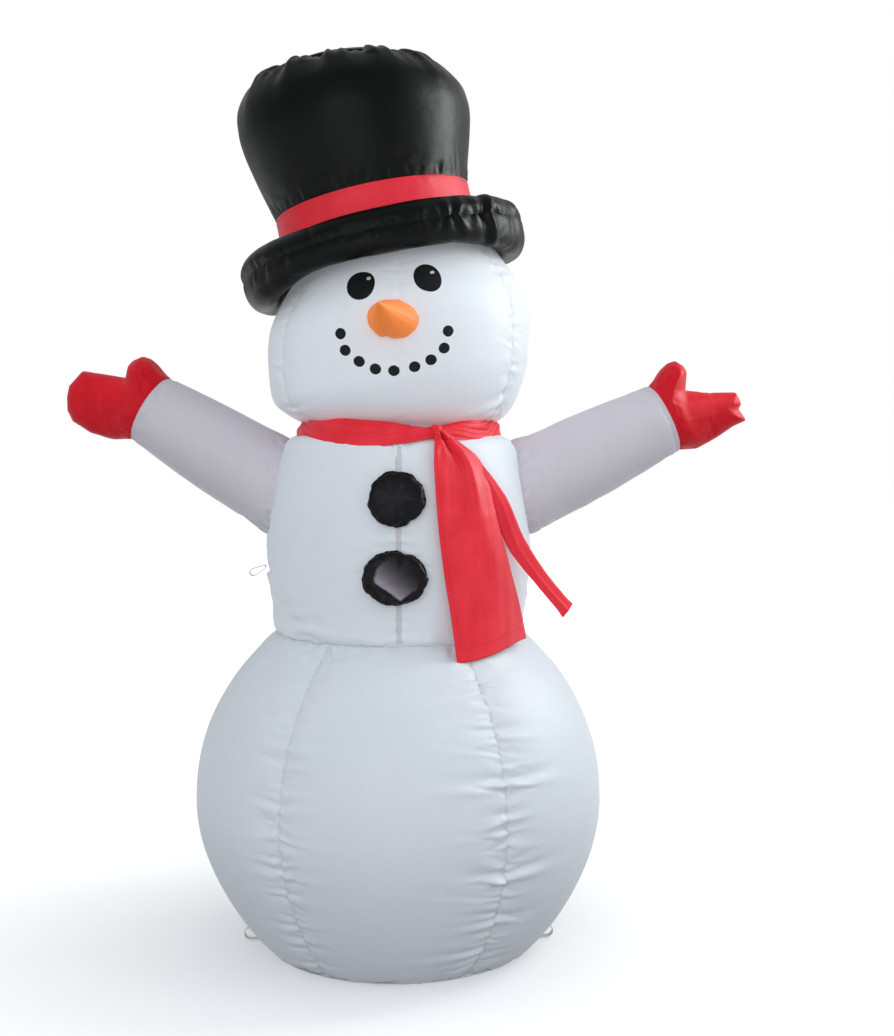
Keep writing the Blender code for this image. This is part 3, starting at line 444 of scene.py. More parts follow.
def normals(points, closed):
    """Outward unit normals of a grid whose rows run down and columns run towards larger bearings."""
    across = np.roll(points, -1, 1) - np.roll(points, 1, 1) if closed else np.gradient(points, axis=1)
    normal = np.cross(np.gradient(points, axis=0), across)
    length = np.linalg.norm(normal, axis=-1, keepdims=True)
    return normal / np.maximum(length, 1e-12)


def raised(points, height, closed=True):
    """Points of a grid moved out along its normals."""
    return points + normals(points, closed) * height[..., None]


def around(bearings, radius, like):
    """Length round a form at each point of a grid, and once round it."""
    return np.radians(bearings)[None] * radius + np.zeros_like(like), TURN * radius


def rings(profile, columns=320):
    """Points of a profile (radius, height) turned round Z, and their bearings."""
    bearings = columns if isinstance(columns, np.ndarray) else np.linspace(0, 360, columns, endpoint=False)
    return profile[:, None, :1] * outward(bearings)[None] + profile[:, None, 1:] * UP, bearings


def ripple(rng, t, wavelength, period=None):
    """Smooth random values from -1 to 1 along t, which may close on itself."""
    if period:
        count = max(4, round(period / wavelength))
        x = np.mod(t, period) / period * count
        knots = rng.uniform(-1, 1, count)
        knots = np.append(knots, knots[0])
    else:
        x = (t - t.min()) / wavelength
        knots = rng.uniform(-1, 1, int(x.max()) + 3)
    low = np.minimum(np.floor(x).astype(int), len(knots) - 2)
    share = x - low
    share = share * share * (3 - 2 * share)
    return knots[low] * (1 - share) + knots[low + 1] * share


# (distance between puckers, height, how far they run out from the seam)
PUCKERS = [(0.009, 0.0006, 0.009), (0.017, 0.0011, 0.018), (0.034, 0.0016, 0.040)]
SEAM_ROLL, FAINT_ROLL = 0.0030, 0.0006       # how deep the cloth rolls into a seam, and into a faint one
FAINT_OFFSET = 0.004                         # added to the distance from a faint seam, to hide its thread and its painted crease shade


def seam_relief(rng, s, t, roll=SEAM_ROLL, width=0.008, strength=1.0, period=None, patchy=0.65):
    """Height of the cloth at distance s from a sewn seam: it rolls into the seam, with puckers square to it."""
    lean = t + s * 0.35 * ripple(rng, t, 0.11, period)
    patches = 1 - patchy * (0.5 + 0.5 * ripple(rng, t, 0.085, period))
    height = -roll * np.exp(-s / width)
    for pitch, size, reach in PUCKERS:
        fade = np.exp(-s / reach) * (1 - 0.5 * np.exp(-s / 0.003))
        height = height + strength * size * patches * fade * ripple(rng, lean, pitch, period)
    return height


def fold(s, t, at, size, reach, width, lean=0.0, period=None):
    """One longer fold that leaves a seam at t = at and fades out."""
    off = t - at - lean * s
    if period:
        off = (off + period / 2) % period - period / 2
    wide = width * (1 + 0.6 * s / reach)
    ridge = np.exp(-(off / wide) ** 2) - 0.9 * np.exp(-((off + 1.7 * wide) / wide) ** 2)
    return size * np.exp(-(s / reach) ** 1.5) * ridge


def gathers(rng, s, t, start, end, spacing, size, reach, width=0.0050, period=None):
    """Many folds square to a seam, uneven in size, spacing and length."""
    height, at = np.zeros(np.broadcast(s, t).shape), start
    while at < end:
        share = rng.uniform(0.30, 1.0) ** 1.4
        height += fold(s, t, at, size * share, reach * rng.uniform(0.5, 1.2) * (0.5 + 0.5 * share),
                       width * rng.uniform(0.75, 1.3), rng.uniform(-0.22, 0.22), period)
        at += spacing * rng.uniform(0.55, 1.6)
    return height


def swell(rng, points, size, longest=0.40, shortest=0.14, count=8):
    """Slow unevenness of a large inflated form."""
    height = np.zeros(points.shape[:-1])
    for _ in range(count):
        direction = rng.normal(size=3)
        direction /= np.linalg.norm(direction)
        wave = rng.uniform(shortest, longest)
        height += np.sin(points @ direction * (TURN / wave) + rng.uniform(0, NEAR_TURN)) * (wave / longest)
    return size * height / math.sqrt(count)


def mesh_object(name, points, faces, uv, look):
    mesh = bpy.data.meshes.new(name)
    mesh.from_pydata(np.asarray(points, float).reshape(-1, 3).tolist(), [], faces)
    if uv is not None:
        layer = mesh.uv_layers.new(name="cloth")
        corner = np.zeros(len(mesh.loops), dtype=np.int64)
        mesh.loops.foreach_get("vertex_index", corner)
        layer.data.foreach_set("uv", np.asarray(uv, float).reshape(-1, 2)[corner].ravel())
    mesh.shade_smooth()
    mesh.materials.append(LOOKS[look])
    return placed(name, mesh, (0, 0, 0))


def grid_piece(name, points, uv, look, closed=False):
    index = np.arange(points.shape[0] * points.shape[1]).reshape(points.shape[:2])
    after = np.roll(index, -1, 1) if closed else index[:, 1:]
    here = index if closed else index[:, :-1]
    cells = np.stack([here[:-1], here[1:], after[1:], after[:-1]], -1).reshape(-1, 4)
    return mesh_object(name, points, cells.tolist(), uv, look)


def stand_for(piece, body, nodes=()):
    """Ride on a body and replace CAD nodes."""
    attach(piece, body)
    if nodes:
        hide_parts(*nodes)
    return piece


def change(piece, operation):
    """Run one bmesh operation over a piece's mesh."""
    form = bmesh.new()
    form.from_mesh(piece.data)
    operation(form)
    form.to_mesh(piece.data)
    form.free()


def weld_poles(piece):
    change(piece, lambda form: bmesh.ops.remove_doubles(form, verts=form.verts, dist=1e-6))


def face_away_from(piece, centre):
    """Turn a piece's faces outwards, judged from a point inside it."""
    centre = Vector(centre)
    total = sum((polygon.center - centre).dot(polygon.normal) * polygon.area for polygon in piece.data.polygons)
    if total < 0:
        piece.data.flip_normals()


def thicken(piece, thickness, offset=-1):
    """Give a thin sheet its two faces, applied."""
    wall = piece.modifiers.new("wall", "SOLIDIFY")
    wall.thickness = thickness
    wall.offset = offset
    apply_modifiers(piece)


def apply_modifiers(piece):
    evaluated = piece.evaluated_get(bpy.context.evaluated_depsgraph_get())
    mesh = bpy.data.meshes.new_from_object(evaluated)
    old = piece.data
    piece.modifiers.clear()
    piece.data = mesh
    mesh.name = piece.name
    bpy.data.meshes.remove(old)


def stitches(name, path, up, look, length=0.0032, gap=0.0018, radius=0.00035, sink=0.3):
    """A row of thread stitches along a path of points, each a small rounded bar standing off the cloth."""
    path, up = np.asarray(path, float), np.asarray(up, float)
    run = run_length(path)
    starts = np.arange(gap, run[-1] - length, length + gap)
    sides, stations = 5, (0.0, 0.2, 0.5, 0.8, 1.0)
    lifts = (-sink, 0.75, 1.0, 0.75, -sink)
    points, faces = [], []
    for start in starts:
        first = len(points)
        for share, lift in zip(stations, lifts):
            at = start + length * share
            centre = np.array([np.interp(at, run, path[:, k]) for k in range(3)])
            ahead = np.array([np.interp(min(at + 0.001, run[-1]), run, path[:, k]) for k in range(3)])
            lean = np.array([np.interp(at, run, up[:, k]) for k in range(3)])
            lean /= np.linalg.norm(lean)
            forward = ahead - centre
            side = np.cross(forward, lean)
            side /= max(np.linalg.norm(side), 1e-12)
            centre = centre + lean * radius * lift
            thick = radius * (0.55 if share in (0.0, 1.0) else 1.0)
            for k in range(sides):
                turn = TURN * k / sides
                points.append(centre + (side * math.cos(turn) + lean * math.sin(turn)) * thick)
        for ring in range(len(stations) - 1):
            for k in range(sides):
                a, b = first + ring * sides + k, first + ring * sides + (k + 1) % sides
                faces.append((a, a + sides, b + sides, b))
        last = first + (len(stations) - 1) * sides
        faces.append(tuple(first + k for k in range(sides)))
        faces.append(tuple(last + sides - 1 - k for k in range(sides)))
    return mesh_object(name, points, faces, None, look)


def spaced(half, first=0.0022, growth=1.2):
    """Distances from a seam to the middle of a panel, close together at the seam."""
    steps, step, total = [0.0], first, 0.0
    while total + step < half:
        total += step
        steps.append(total)
        step = min(step * growth, 0.022)
    steps = np.array(steps)
    return steps * (half / steps[-1]) if half - steps[-1] < step * 0.5 else np.append(steps, half)


def panel_columns(seams, radius):
    """Bearings of all columns of a closed skin, and the index of each seam's column."""
    bearings, index = [], []
    for start, end in zip(seams, seams[1:] + [seams[0] + 360]):
        half = math.radians(end - start) / 2 * radius
        near = np.degrees(spaced(half) / radius)
        index.append(len(bearings))
        bearings += list(start + near) + list(end - near[::-1])[1:-1]
    return np.array(bearings), index


class Skin:
    """A closed sewn skin: rows down, columns round, with upright seams at given bearings."""

    def __init__(self, profile, seams, radius, seed):
        self.rng = np.random.default_rng(seed)
        self.profile = profile
        self.seams = seams
        self.bearings, self.index = panel_columns(seams, radius)
        self.points, _ = rings(profile, self.bearings)
        self.run = run_length(profile)
        self.length = self.run[-1]
        self.hold = (smooth_step(self.run, 0, 0.007) * smooth_step(self.length - self.run, 0, 0.007))[:, None]
        self.to_seam = np.full(self.points.shape[:2], 9.0)

    def seam_distance(self, bearing):
        turn = (self.bearings - bearing + 180) % 360 - 180
        return np.abs(np.radians(turn))[None] * self.profile[:, :1], np.sign(turn)[None]

    def at_height(self, height):
        """Distance down the profile at a height."""
        order = np.argsort(self.profile[:, 1])
        return float(np.interp(height, self.profile[order, 1], self.run[order]))

    def move(self, height):
        self.points = raised(self.points, height * self.hold)

    def sew(self, strengths, folds=(), faint=(), gathered=()):
        """Roll every panel into its seams and pucker it there; a faint seam lies flat and shows no thread."""
        t = np.repeat(self.run[:, None], len(self.bearings), 1)
        height = np.zeros_like(t)
        for number, (bearing, strength) in enumerate(zip(self.seams, strengths)):
            s, side = self.seam_distance(bearing)
            roll = FAINT_ROLL if number in faint else SEAM_ROLL
            relief = seam_relief(self.rng, s, t, roll=roll, strength=strength)
            other = seam_relief(self.rng, s, t, roll=0, strength=strength * 0.6)
            height += np.where(s < 0.25, relief + other * np.exp(-s / 0.06) * (side > 0), 0)
            self.to_seam = np.minimum(self.to_seam, s + (FAINT_OFFSET if number in faint else 0))
            for _, place, size, reach, width, lean, which in (row for row in folds if row[0] == number):
                marked = fold(s, t, self.at_height(place), size, reach, width, lean)
                height += marked * ((side * which) >= 0 if which else 1)
            for _, high, low, spacing, size, reach, which in (row for row in gathered if row[0] == number):
                start, end = self.at_height(high), self.at_height(low)
                marked = gathers(self.rng, s, t, start, end, spacing, size, reach)
                height += marked * ((side * which) >= 0)
        self.move(height)

    def panels(self):
        """One piece for each panel, sharing its edges with its neighbours."""
        columns = len(self.bearings)
        for number, start in enumerate(self.index):
            end = self.index[number + 1] if number + 1 < len(self.index) else columns
            pick = [j % columns for j in range(start, end + 1)]
            uv = np.stack([self.to_seam[:, pick], np.repeat(self.run[:, None], len(pick), 1)], -1)
            yield self.points[:, pick], uv


def surface_tree(*pieces):
    """Ray casting over the union of some meshes."""
    points, faces = [], []
    for piece in pieces:
        base = len(points)
        points += [vertex.co.copy() for vertex in piece.data.vertices]
        faces += [[base + i for i in polygon.vertices] for polygon in piece.data.polygons]
    return BVHTree.FromPolygons(points, faces)


def front_of(tree, x, z):
    """Point and normal where a line along +Y from the front first meets a surface."""
    point, normal, _, _ = tree.ray_cast(Vector((x, -2, z)), Vector((0, 1, 0)))
    if normal.y > 0:
        normal = -normal
    return np.array(point), np.array(normal)


def sewn_panels(skin, nodes, look, blend=None, **air):
    """A skin's panels as pieces that stand for CAD nodes, each filled with air."""
    pieces = []
    for node, (points, uv) in zip(nodes, skin.panels()):
        piece = grid_piece(node.replace("panel", "skin"), points, uv, look)
        fill(piece, points.shape, **air)
        if blend:
            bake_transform(piece)
        else:
            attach(piece, "envelope")
        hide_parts(node)
        pieces.append(piece)
    return pieces


# ---- Base ball -------------------------------------------------------------------------------------
BALL_RADIUS, BALL_HEIGHT = 0.400, 0.303
WAIST_HEIGHT, WAIST_RADIUS = 0.629, 0.26
BALL_SEAMS = [-33, 29.5, 106, 180, 250]
BALL_SEAM_STRENGTHS = [0.8, 0.75, 0.9, 0.8, 0.9]
BALL_NODES = ["base_front_panel", "base_right_front_panel", "base_right_back_panel",
              "base_left_back_panel", "base_left_front_panel"]
# Long folds on the ball: (seam, height, size, reach, width, lean, side), side 0 for both
BALL_FOLDS = [
    (1, 0.392, 0.0078, 0.068, 0.0062, 0.05, 0), (1, 0.376, -0.0035, 0.035, 0.0050, -0.10, -1),
    (1, 0.218, 0.0068, 0.062, 0.0062, -0.08, 0), (1, 0.206, -0.0040, 0.040, 0.0050, 0.0, -1),
    (1, 0.560, 0.0036, 0.045, 0.0055, 0.15, 1), (1, 0.478, 0.0040, 0.045, 0.0055, 0.10, 0),
    (1, 0.330, 0.0030, 0.035, 0.0050, -0.10, 0), (1, 0.130, 0.0036, 0.045, 0.0055, 0.10, 0),
    (0, 0.455, 0.0030, 0.040, 0.0055, 0.10, 0), (0, 0.345, 0.0030, 0.045, 0.0055, -0.10, 0),
    (0, 0.225, 0.0034, 0.045, 0.0055, 0.05, 0), (0, 0.180, 0.0028, 0.035, 0.0050, 0.0, 1),
    (2, 0.420, 0.0040, 0.050, 0.0055, 0.05, 0), (2, 0.250, 0.0045, 0.050, 0.0060, -0.05, 0),
    (4, 0.400, 0.0040, 0.050, 0.0055, 0.05, 0), (4, 0.200, 0.0042, 0.050, 0.0060, 0.0, 0),
    (3, 0.520, 0.0036, 0.045, 0.0055, 0.05, 0),
]
# Gathers on the ball: (seam, from height, to height, spacing, size, reach, side)
BALL_GATHERS = [(1, 0.600, 0.015, 0.027, 0.0046, 0.095, -1), (1, 0.600, 0.020, 0.040, 0.0032, 0.055, 1)] + [
    (seam, 0.600, 0.020, spacing, size, reach, side)
    for seam, spacing, size, reach in ((0, 0.055, 0.0022, 0.060), (2, 0.022, 0.0040, 0.065),
                                       (3, 0.026, 0.0036, 0.060), (4, 0.022, 0.0040, 0.065)) for side in (-1, 1)]
# Folds that fan out from the waist: (bearing, size, reach, lean)
WAIST_STAR = [(-32, 0.0040, 0.070, 0.9), (-35, 0.0036, 0.060, -0.8), (-30, 0.0034, 0.060, 0.4),
              (28, 0.0036, 0.060, -0.6), (34, 0.0030, 0.050, 0.3)]


def ball_profile():
    low = math.degrees(math.asin(-BALL_HEIGHT / BALL_RADIUS))
    turn = np.radians(np.linspace(44, low, 160))
    arc = np.stack([BALL_RADIUS * np.cos(turn), BALL_HEIGHT + BALL_RADIUS * np.sin(turn)], 1)
    arc[:, 0] -= 0.0095 * low_down(arc[:, 1])
    top = smooth_curve([(0.2420, WAIST_HEIGHT), (0.2490, 0.6235), (0.2640, 0.6075), arc[0]], count=14)
    foot = np.array([[0.2585, 0.0012], [0.2500, 0.0006]])
    return smooth_curve(np.vstack([top[:-1], arc, foot]), step=GRID_STEP)


def low_down(height):
    """How much of the ball's settling its lower part has."""
    return smooth_step(-height, -0.30, -0.08)


def make_ball():
    skin = Skin(ball_profile(), BALL_SEAMS, BALL_RADIUS, 11)
    skin.sew(BALL_SEAM_STRENGTHS, BALL_FOLDS, gathered=BALL_GATHERS)
    s = np.repeat(skin.run[:, None], len(skin.bearings), 1)
    t, period = around(skin.bearings, WAIST_RADIUS, s)
    skin.move(seam_relief(skin.rng, s, t, roll=0, strength=1.1, period=period)
              + swell(skin.rng, skin.points, 0.0011) * smooth_step(s, 0, 0.06))
    star = gathers(skin.rng, s, t, 0.0, period, 0.030, 0.0026, 0.045, period=period)
    for bearing, size, reach, lean in WAIST_STAR:
        star += fold(s, t, math.radians(bearing) * WAIST_RADIUS, size, reach, 0.0055, lean, period)
    skin.move(star)
    foot = skin.length - s
    at_foot = smooth_step(foot, 0, 0.02)
    skin.move(gathers(skin.rng, foot, t, 0.0, period, 0.045, 0.0040, 0.060, 0.006, period) * at_foot)
    skin.move(seam_relief(skin.rng, foot, t, roll=0, strength=1.3, period=period) * at_foot)
    skin.points[..., 0] += 0.0025 * low_down(skin.points[..., 2])
    skin.points[..., 2] = np.maximum(skin.points[..., 2], 0.0004)
    sewn_panels(skin, BALL_NODES, "white_nylon", cap=0.006)


# ---- Arms' axes, needed by the chest ---------------------------------------------------------------
# Middle of each shoulder and wrist
ARMS = {
    "left": (np.array([-0.240, 0.0, 0.919]), np.array([-0.493, 0.040, 1.069])),
    "right": (np.array([0.245, 0.0, 0.914]), np.array([0.530, 0.025, 1.050])),
}
SLEEVE_ROOT_RADIUS, SLEEVE_WRIST_RADIUS, SLEEVE_RADIUS = 0.0915, 0.0735, 0.0825


def arm_axes(side):
    """Level, upright and reach directions of an arm, and its length."""
    shoulder, wrist = ARMS[side]
    length = np.linalg.norm(wrist - shoulder)
    reach = (wrist - shoulder) / length
    level = np.cross(UP, reach)
    level /= np.linalg.norm(level)
    return level, np.cross(reach, level), reach, length


# ---- Chest -----------------------------------------------------------------------------------------
CHEST_OUTLINE = [
    (0.150, 1.0285), (0.178, 1.0255), (0.204, 1.0205), (0.2270, 1.0120), (0.2410, 0.988), (0.2560, 0.930),
    (0.2635, 0.870), (0.2635, 0.790), (0.2585, 0.720), (0.2510, 0.665), (0.2490, 0.640), (0.2420, 0.6290),
]
CHEST_RADIUS = 0.25
CHEST_SEAMS = [-90, 0, 90, 180]
CHEST_NODES = ["chest_left_front_panel", "chest_right_front_panel", "chest_right_back_panel",
               "chest_left_back_panel"]
CHEST_FOLDS = [(0, 0.745, 0.004, 0.05, 0.006, 0.2, 0), (2, 0.700, 0.0035, 0.05, 0.006, -0.2, 0),
               (1, 0.830, 0.0018, 0.03, 0.005, 0.1, 0)]
CHEST_GATHERS = [(seam, 1.00, 0.65, spacing, size, reach, side) for seam, spacing, size, reach in (
    (0, 0.030, 0.0030, 0.045), (2, 0.026, 0.0034, 0.050), (3, 0.030, 0.0030, 0.045)) for side in (1, -1)]
# Folds up from the chest's hem: (bearing, size, reach, lean)
CHEST_HEM_FOLDS = [(-40, 0.0085, 0.100, -0.75), (-31, 0.0050, 0.080, -0.55), (-39, 0.0050, 0.060, 0.8),
                   (-14, 0.0030, 0.050, -0.2), (-22, 0.0034, 0.050, 0.3), (24, 0.0026, 0.050, -0.2)]
ARMHOLE_DEPTH = 0.12           # how far in from the shoulder point the armhole's pull is felt


def make_chest():
    skin = Skin(smooth_curve(CHEST_OUTLINE, step=GRID_STEP), CHEST_SEAMS, 0.26, 23)
    skin.sew([0.8, 0.45, 0.8, 0.8], CHEST_FOLDS, (1,), CHEST_GATHERS)
    t, period = around(skin.bearings, CHEST_RADIUS, skin.to_seam)
    from_waist = (skin.length - skin.run)[:, None] + np.zeros_like(t)
    height = seam_relief(skin.rng, from_waist, t, roll=0.0, strength=1.2, period=period)
    height += gathers(skin.rng, from_waist, t, 0.0, period, 0.040, 0.0022, 0.040, period=period)
    for bearing, size, reach, lean in CHEST_HEM_FOLDS:
        height += fold(from_waist, t, math.radians(bearing) * CHEST_RADIUS, size, reach, 0.0065, lean, period)
    for side in ARMS:
        level, upright, reach, _ = arm_axes(side)
        off = skin.points - ARMS[side][0]
        across, up, out = off @ level, off @ upright, off @ reach
        ring = np.hypot(across, up)
        s = np.abs(ring - SLEEVE_ROOT_RADIUS)
        pull = seam_relief(skin.rng, s, np.arctan2(up, across) * SLEEVE_ROOT_RADIUS, roll=0.0055, width=0.012,
                           strength=1.5, period=TURN * SLEEVE_ROOT_RADIUS)
        near = out > -ARMHOLE_DEPTH
        height += np.where(near, pull * np.exp(-np.maximum(0, s - 0.05) / 0.04), 0)
        height = np.where((ring < SLEEVE_ROOT_RADIUS - 0.004) & near, -0.006, height)
    skin.move(height + swell(skin.rng, skin.points, 0.0012))
    skin.to_seam = np.minimum(skin.to_seam, from_waist)
    # the chest's cloth carries a faint painted glow
    return sewn_panels(skin, CHEST_NODES, "dim_nylon", grow=0.02, frames=9, cap=0.0045)


# ---- Head ------------------------------------------------------------------------------------------
HEAD_OUTLINE = [
    (0.002, 1.453), (0.040, 1.451), (0.080, 1.443), (0.130, 1.420), (0.168, 1.390), (0.195, 1.360),
    (0.228, 1.310), (0.250, 1.265), (0.2575, 1.225), (0.2580, 1.185), (0.2550, 1.140), (0.2480, 1.112),
    (0.2360, 1.088), (0.2200, 1.068), (0.2010, 1.054), (0.175, 1.043), (0.155, 1.032), (0.148, 1.015),
]
HEAD_SEAMS = [-60, 0, 60, 120, 180, 240]
HEAD_NODES = ["head_left_front_panel", "head_right_front_panel", "head_right_side_panel",
              "head_right_back_panel", "head_left_back_panel", "head_left_side_panel"]
HEAD_FOLDS = [(2, 1.082, 0.0050, 0.060, 0.0060, 0.35, -1), (0, 1.075, 0.0036, 0.05, 0.006, -0.2, 0)]
HEAD_GATHERS = [(seam, 1.33, 1.04, 0.038, 0.0018, 0.045, side) for seam in (0, 2, 3, 4, 5) for side in (-1, 1)]
HEAD_SHEAR = 0.12            # the head stands higher on its right
NOSE_CENTRE = np.array([-0.0083, -0.2515, 1.237])
NOSE_RADIUS = 0.042
NECK_BLEND = ((0, 0, 1.035), (0, 0, 1.130))


def make_head():
    skin = Skin(smooth_curve(HEAD_OUTLINE, step=GRID_STEP), HEAD_SEAMS, 0.255, 31)
    crown = smooth_step(skin.run, 0.0, 0.05)[:, None]
    skin.sew([0.5, 0.35, 0.5, 0.8, 0.8, 0.8], HEAD_FOLDS, (1,), HEAD_GATHERS)
    off = skin.points - NOSE_CENTRE
    ring = np.hypot(off[..., 0] / 0.047, off[..., 2] / 0.038)
    turn = np.arctan2(off[..., 2], off[..., 0])
    s = np.abs(ring - 1) * NOSE_RADIUS
    puckers = seam_relief(skin.rng, s, turn * NOSE_RADIUS, roll=0.0025, strength=0.9, period=TURN * NOSE_RADIUS)
    height = np.where(off[..., 1] < 0.12, puckers * np.exp(-np.maximum(0, s - 0.03) / 0.02), 0)
    skin.move((height + swell(skin.rng, skin.points, 0.0012)) * crown)
    z = skin.points[..., 2]
    skin.points[..., 2] = z + HEAD_SHEAR * skin.points[..., 0] * smooth_step(z, 1.045, 1.13)
    # the head's cloth carries a painted glow
    return sewn_panels(skin, HEAD_NODES, "lit_nylon", NECK_BLEND, grow=0.015, frames=9, cap=0.004)


NOSE_TIP = np.array([-0.0285, -0.1150, 0.0230])

# Face: places across and up, on the head's front
MOUTH_DOTS = [
    (-0.1074, 1.2118), (-0.0985, 1.1805), (-0.0727, 1.1598), (-0.0426, 1.1457), (-0.0085, 1.1426),
    (0.0296, 1.1499), (0.0600, 1.1630), (0.0843, 1.1850), (0.0918, 1.2163),
]
DOT_HALF = (0.0098, 0.0107)
EYES = {"left_eye": (-0.0700, 1.3020), "right_eye": (0.0535, 1.3150)}
# Outline of an eye: (turn in degrees, distance from its centre)
EYE_OUTLINES = {
    "left_eye": [(0, 0.0255), (40, 0.0300), (62, 0.0285), (90, 0.0262), (135, 0.0255), (180, 0.0262),
                 (225, 0.0285), (255, 0.0285), (290, 0.0265), (330, 0.0245)],
    "right_eye": [(0, 0.0262), (40, 0.0255), (85, 0.0275), (115, 0.0290), (145, 0.0285), (180, 0.0250),
                  (225, 0.0235), (270, 0.0245), (300, 0.0285), (330, 0.0290)],
}
GLINTS = {"left_eye": (0.0148, 0.0130), "right_eye": (0.0090, 0.0118)}


def patch(name, tree, x, z, radii, lift, look, rows=10):
    """A flat patch on the front of the head, given its outline's distance at each turn."""
    turns = np.linspace(0, TURN, 56, endpoint=False)
    given, sizes = zip(*radii)
    edge = np.interp(np.degrees(turns), [*given, 360], [*sizes, sizes[0]])
    edge = sum(np.roll(edge, k) for k in (0, 1, -1, 2, -2)) / 5
    points, uv = [], []
    for share in np.linspace(1.0, 0.0, rows):
        for turn, size in zip(turns, edge):
            dx, dz = math.cos(turn) * size * share, math.sin(turn) * size * share
            point, normal = front_of(tree, x + dx, z + dz)
            points.append(point + normal * (lift if share < 1 else lift * 0.2))
            uv.append((dx, dz))
    grid = np.array(points).reshape(rows, len(turns), 3)
    piece = grid_piece(name, grid[:, ::-1], np.array(uv).reshape(rows, len(turns), 2)[:, ::-1], look, True)
    weld_poles(piece)
    if piece.data.polygons[0].normal.y > 0:
        piece.data.flip_normals()
    return piece


def make_face(head_pieces):
    tree = surface_tree(*head_pieces)
    rng = np.random.default_rng(5)
    for name, (x, z) in EYES.items():
        eye = patch(f"{name}_cloth", tree, x, z, EYE_OUTLINES[name], 0.0008, "face_ink")
        stand_for(eye, "head", [name])
        dx, dz = GLINTS[name]
        glint = [(turn, 0.0040 + 0.0008 * math.cos(math.radians(2 * turn - 40)))
                 for turn in range(0, 360, 30)]
        stand_for(patch(f"{name}_glint", tree, x + dx, z + dz, glint, 0.0013, "eye_glint", 6), "head")
    for number, (x, z) in enumerate(MOUTH_DOTS):
        tilt = math.radians(-70 + 16 * number)
        radii = []
        for turn in range(0, 360, 20):
            size = DOT_HALF[0] + (DOT_HALF[1] - DOT_HALF[0]) * math.cos(math.radians(turn) - tilt) ** 2
            radii.append((turn, size * (1 + rng.uniform(-0.035, 0.035))))
        stand_for(patch(f"mouth_dot_{number + 1}", tree, x, z, radii, 0.0006, "face_ink", 6), "head")


def make_nose(head_pieces):
    """A sewn cone of orange cloth, puffed out, whose tip leans up and to the left."""
    tree = surface_tree(*head_pieces)
    rng = np.random.default_rng(8)
    rows, columns = 44, 96
    turns = np.linspace(0, TURN, columns, endpoint=False)
    grid = np.zeros((rows, columns, 3))
    for j, turn in enumerate(turns):
        x, z = math.cos(turn) * 0.0475, math.sin(turn) * 0.0375
        base, normal = front_of(tree, NOSE_CENTRE[0] + x, NOSE_CENTRE[2] + z)
        base = base - normal * 0.004
        centre = np.array([NOSE_CENTRE[0], base[1], NOSE_CENTRE[2]])
        for i in range(rows):
            share = i / (rows - 1)
            size = (1 - share) ** 0.92 * (1 + 0.22 * math.sin(math.pi * min(1, share * 1.15)))
            middle = centre * (1 - share) + (NOSE_CENTRE + NOSE_TIP) * share
            middle = middle - 0.004 * math.sin(math.pi * share) * UP
            grid[i, j] = middle + (base - centre) * size
    s = run_length(grid)
    t = turns[None] * NOSE_RADIUS + np.zeros_like(s)
    seam = np.abs((turns + math.pi / 2 + 0.25 + math.pi) % TURN - math.pi)[None] * 0.03
    seam = seam * np.linspace(1, 0.05, rows)[:, None]
    height = seam_relief(rng, s, t, roll=0.0015, width=0.005, strength=0.7, period=TURN * NOSE_RADIUS)
    height += -0.0036 * np.exp(-seam / 0.0035) + 0.0022 * np.exp(-((seam - 0.009) / 0.005) ** 2)
    grid = raised(grid, -height * np.linspace(1, 0.15, rows)[:, None])
    nose = grid_piece("nose_skin", grid, np.stack([np.minimum(s, seam), t], -1), "orange_nylon", True)
    weld_poles(nose)
    stand_for(nose, "head", ["nose_cone"])
    change(nose, lambda form: bmesh.ops.recalc_face_normals(form, faces=form.faces[:]))


# ---- Hat -------------------------------------------------------------------------------------------
HAT = Matrix.Translation((-0.031, 0, 1.383)) @ Matrix.Rotation(math.radians(-12), 4, "Y") \
    @ Matrix.Rotation(math.radians(-4), 4, "X")
CROWN_OUTLINE = [
    (0.1475, 0.3755), (0.163, 0.3725), (0.181, 0.3640), (0.1965, 0.351), (0.2215, 0.314), (0.2290, 0.278),
    (0.2275, 0.243), (0.2155, 0.190), (0.1965, 0.118), (0.194, 0.080), (0.1965, 0.045), (0.2035, 0.0035),
]
CROWN_TOP = [(0.0005, 0.403), (0.045, 0.402), (0.090, 0.396), (0.122, 0.3875), (0.1475, 0.3755)]
TOP_RADIUS, CROWN_RADIUS = 0.1475, 0.20
BAND_LOW, BAND_HIGH = 0.046, 0.104
# Gathers under the crown's top edge: (bearing, size, how far down they run)
CROWN_FOLDS = [
    (-62, 0.0070, 0.060), (-47, -0.0050, 0.050), (-33, 0.0060, 0.070), (-20, -0.0045, 0.045),
    (-8, 0.0060, 0.060), (6, -0.0050, 0.050), (19, 0.0050, 0.055), (33, -0.0055, 0.060), (48, 0.0060, 0.075),
    (63, -0.0050, 0.060), (-85, 0.0060, 0.070), (84, 0.0060, 0.065), (110, 0.006, 0.06), (133, -0.005, 0.06),
    (156, 0.006, 0.07), (180, -0.005, 0.05), (203, 0.006, 0.06), (228, -0.005, 0.07), (250, 0.006, 0.06),
]
BRIM_INNER, BRIM_OUTER, BRIM_HALF_DEPTH, BRIM_RADIUS = 0.205, 0.288, 0.042, 0.25
# Deep creases where the brim's edge is drawn in: (bearing, size, reach, width)
BRIM_CREASES = [(47, 0.0085, 0.046, 0.0075), (68, 0.0034, 0.036, 0.0090), (31, 0.0050, 0.030, 0.0055),
                (-158, 0.0060, 0.040, 0.0080), (140, 0.0055, 0.040, 0.0080)]
BRIM_GATHERED = (16, 56)       # bearings between which its edge is gathered tightly
BRIM_BEND = 0.003
BRIM_DROOP = 0.026             # how much deeper the brim hangs at its left and right ends


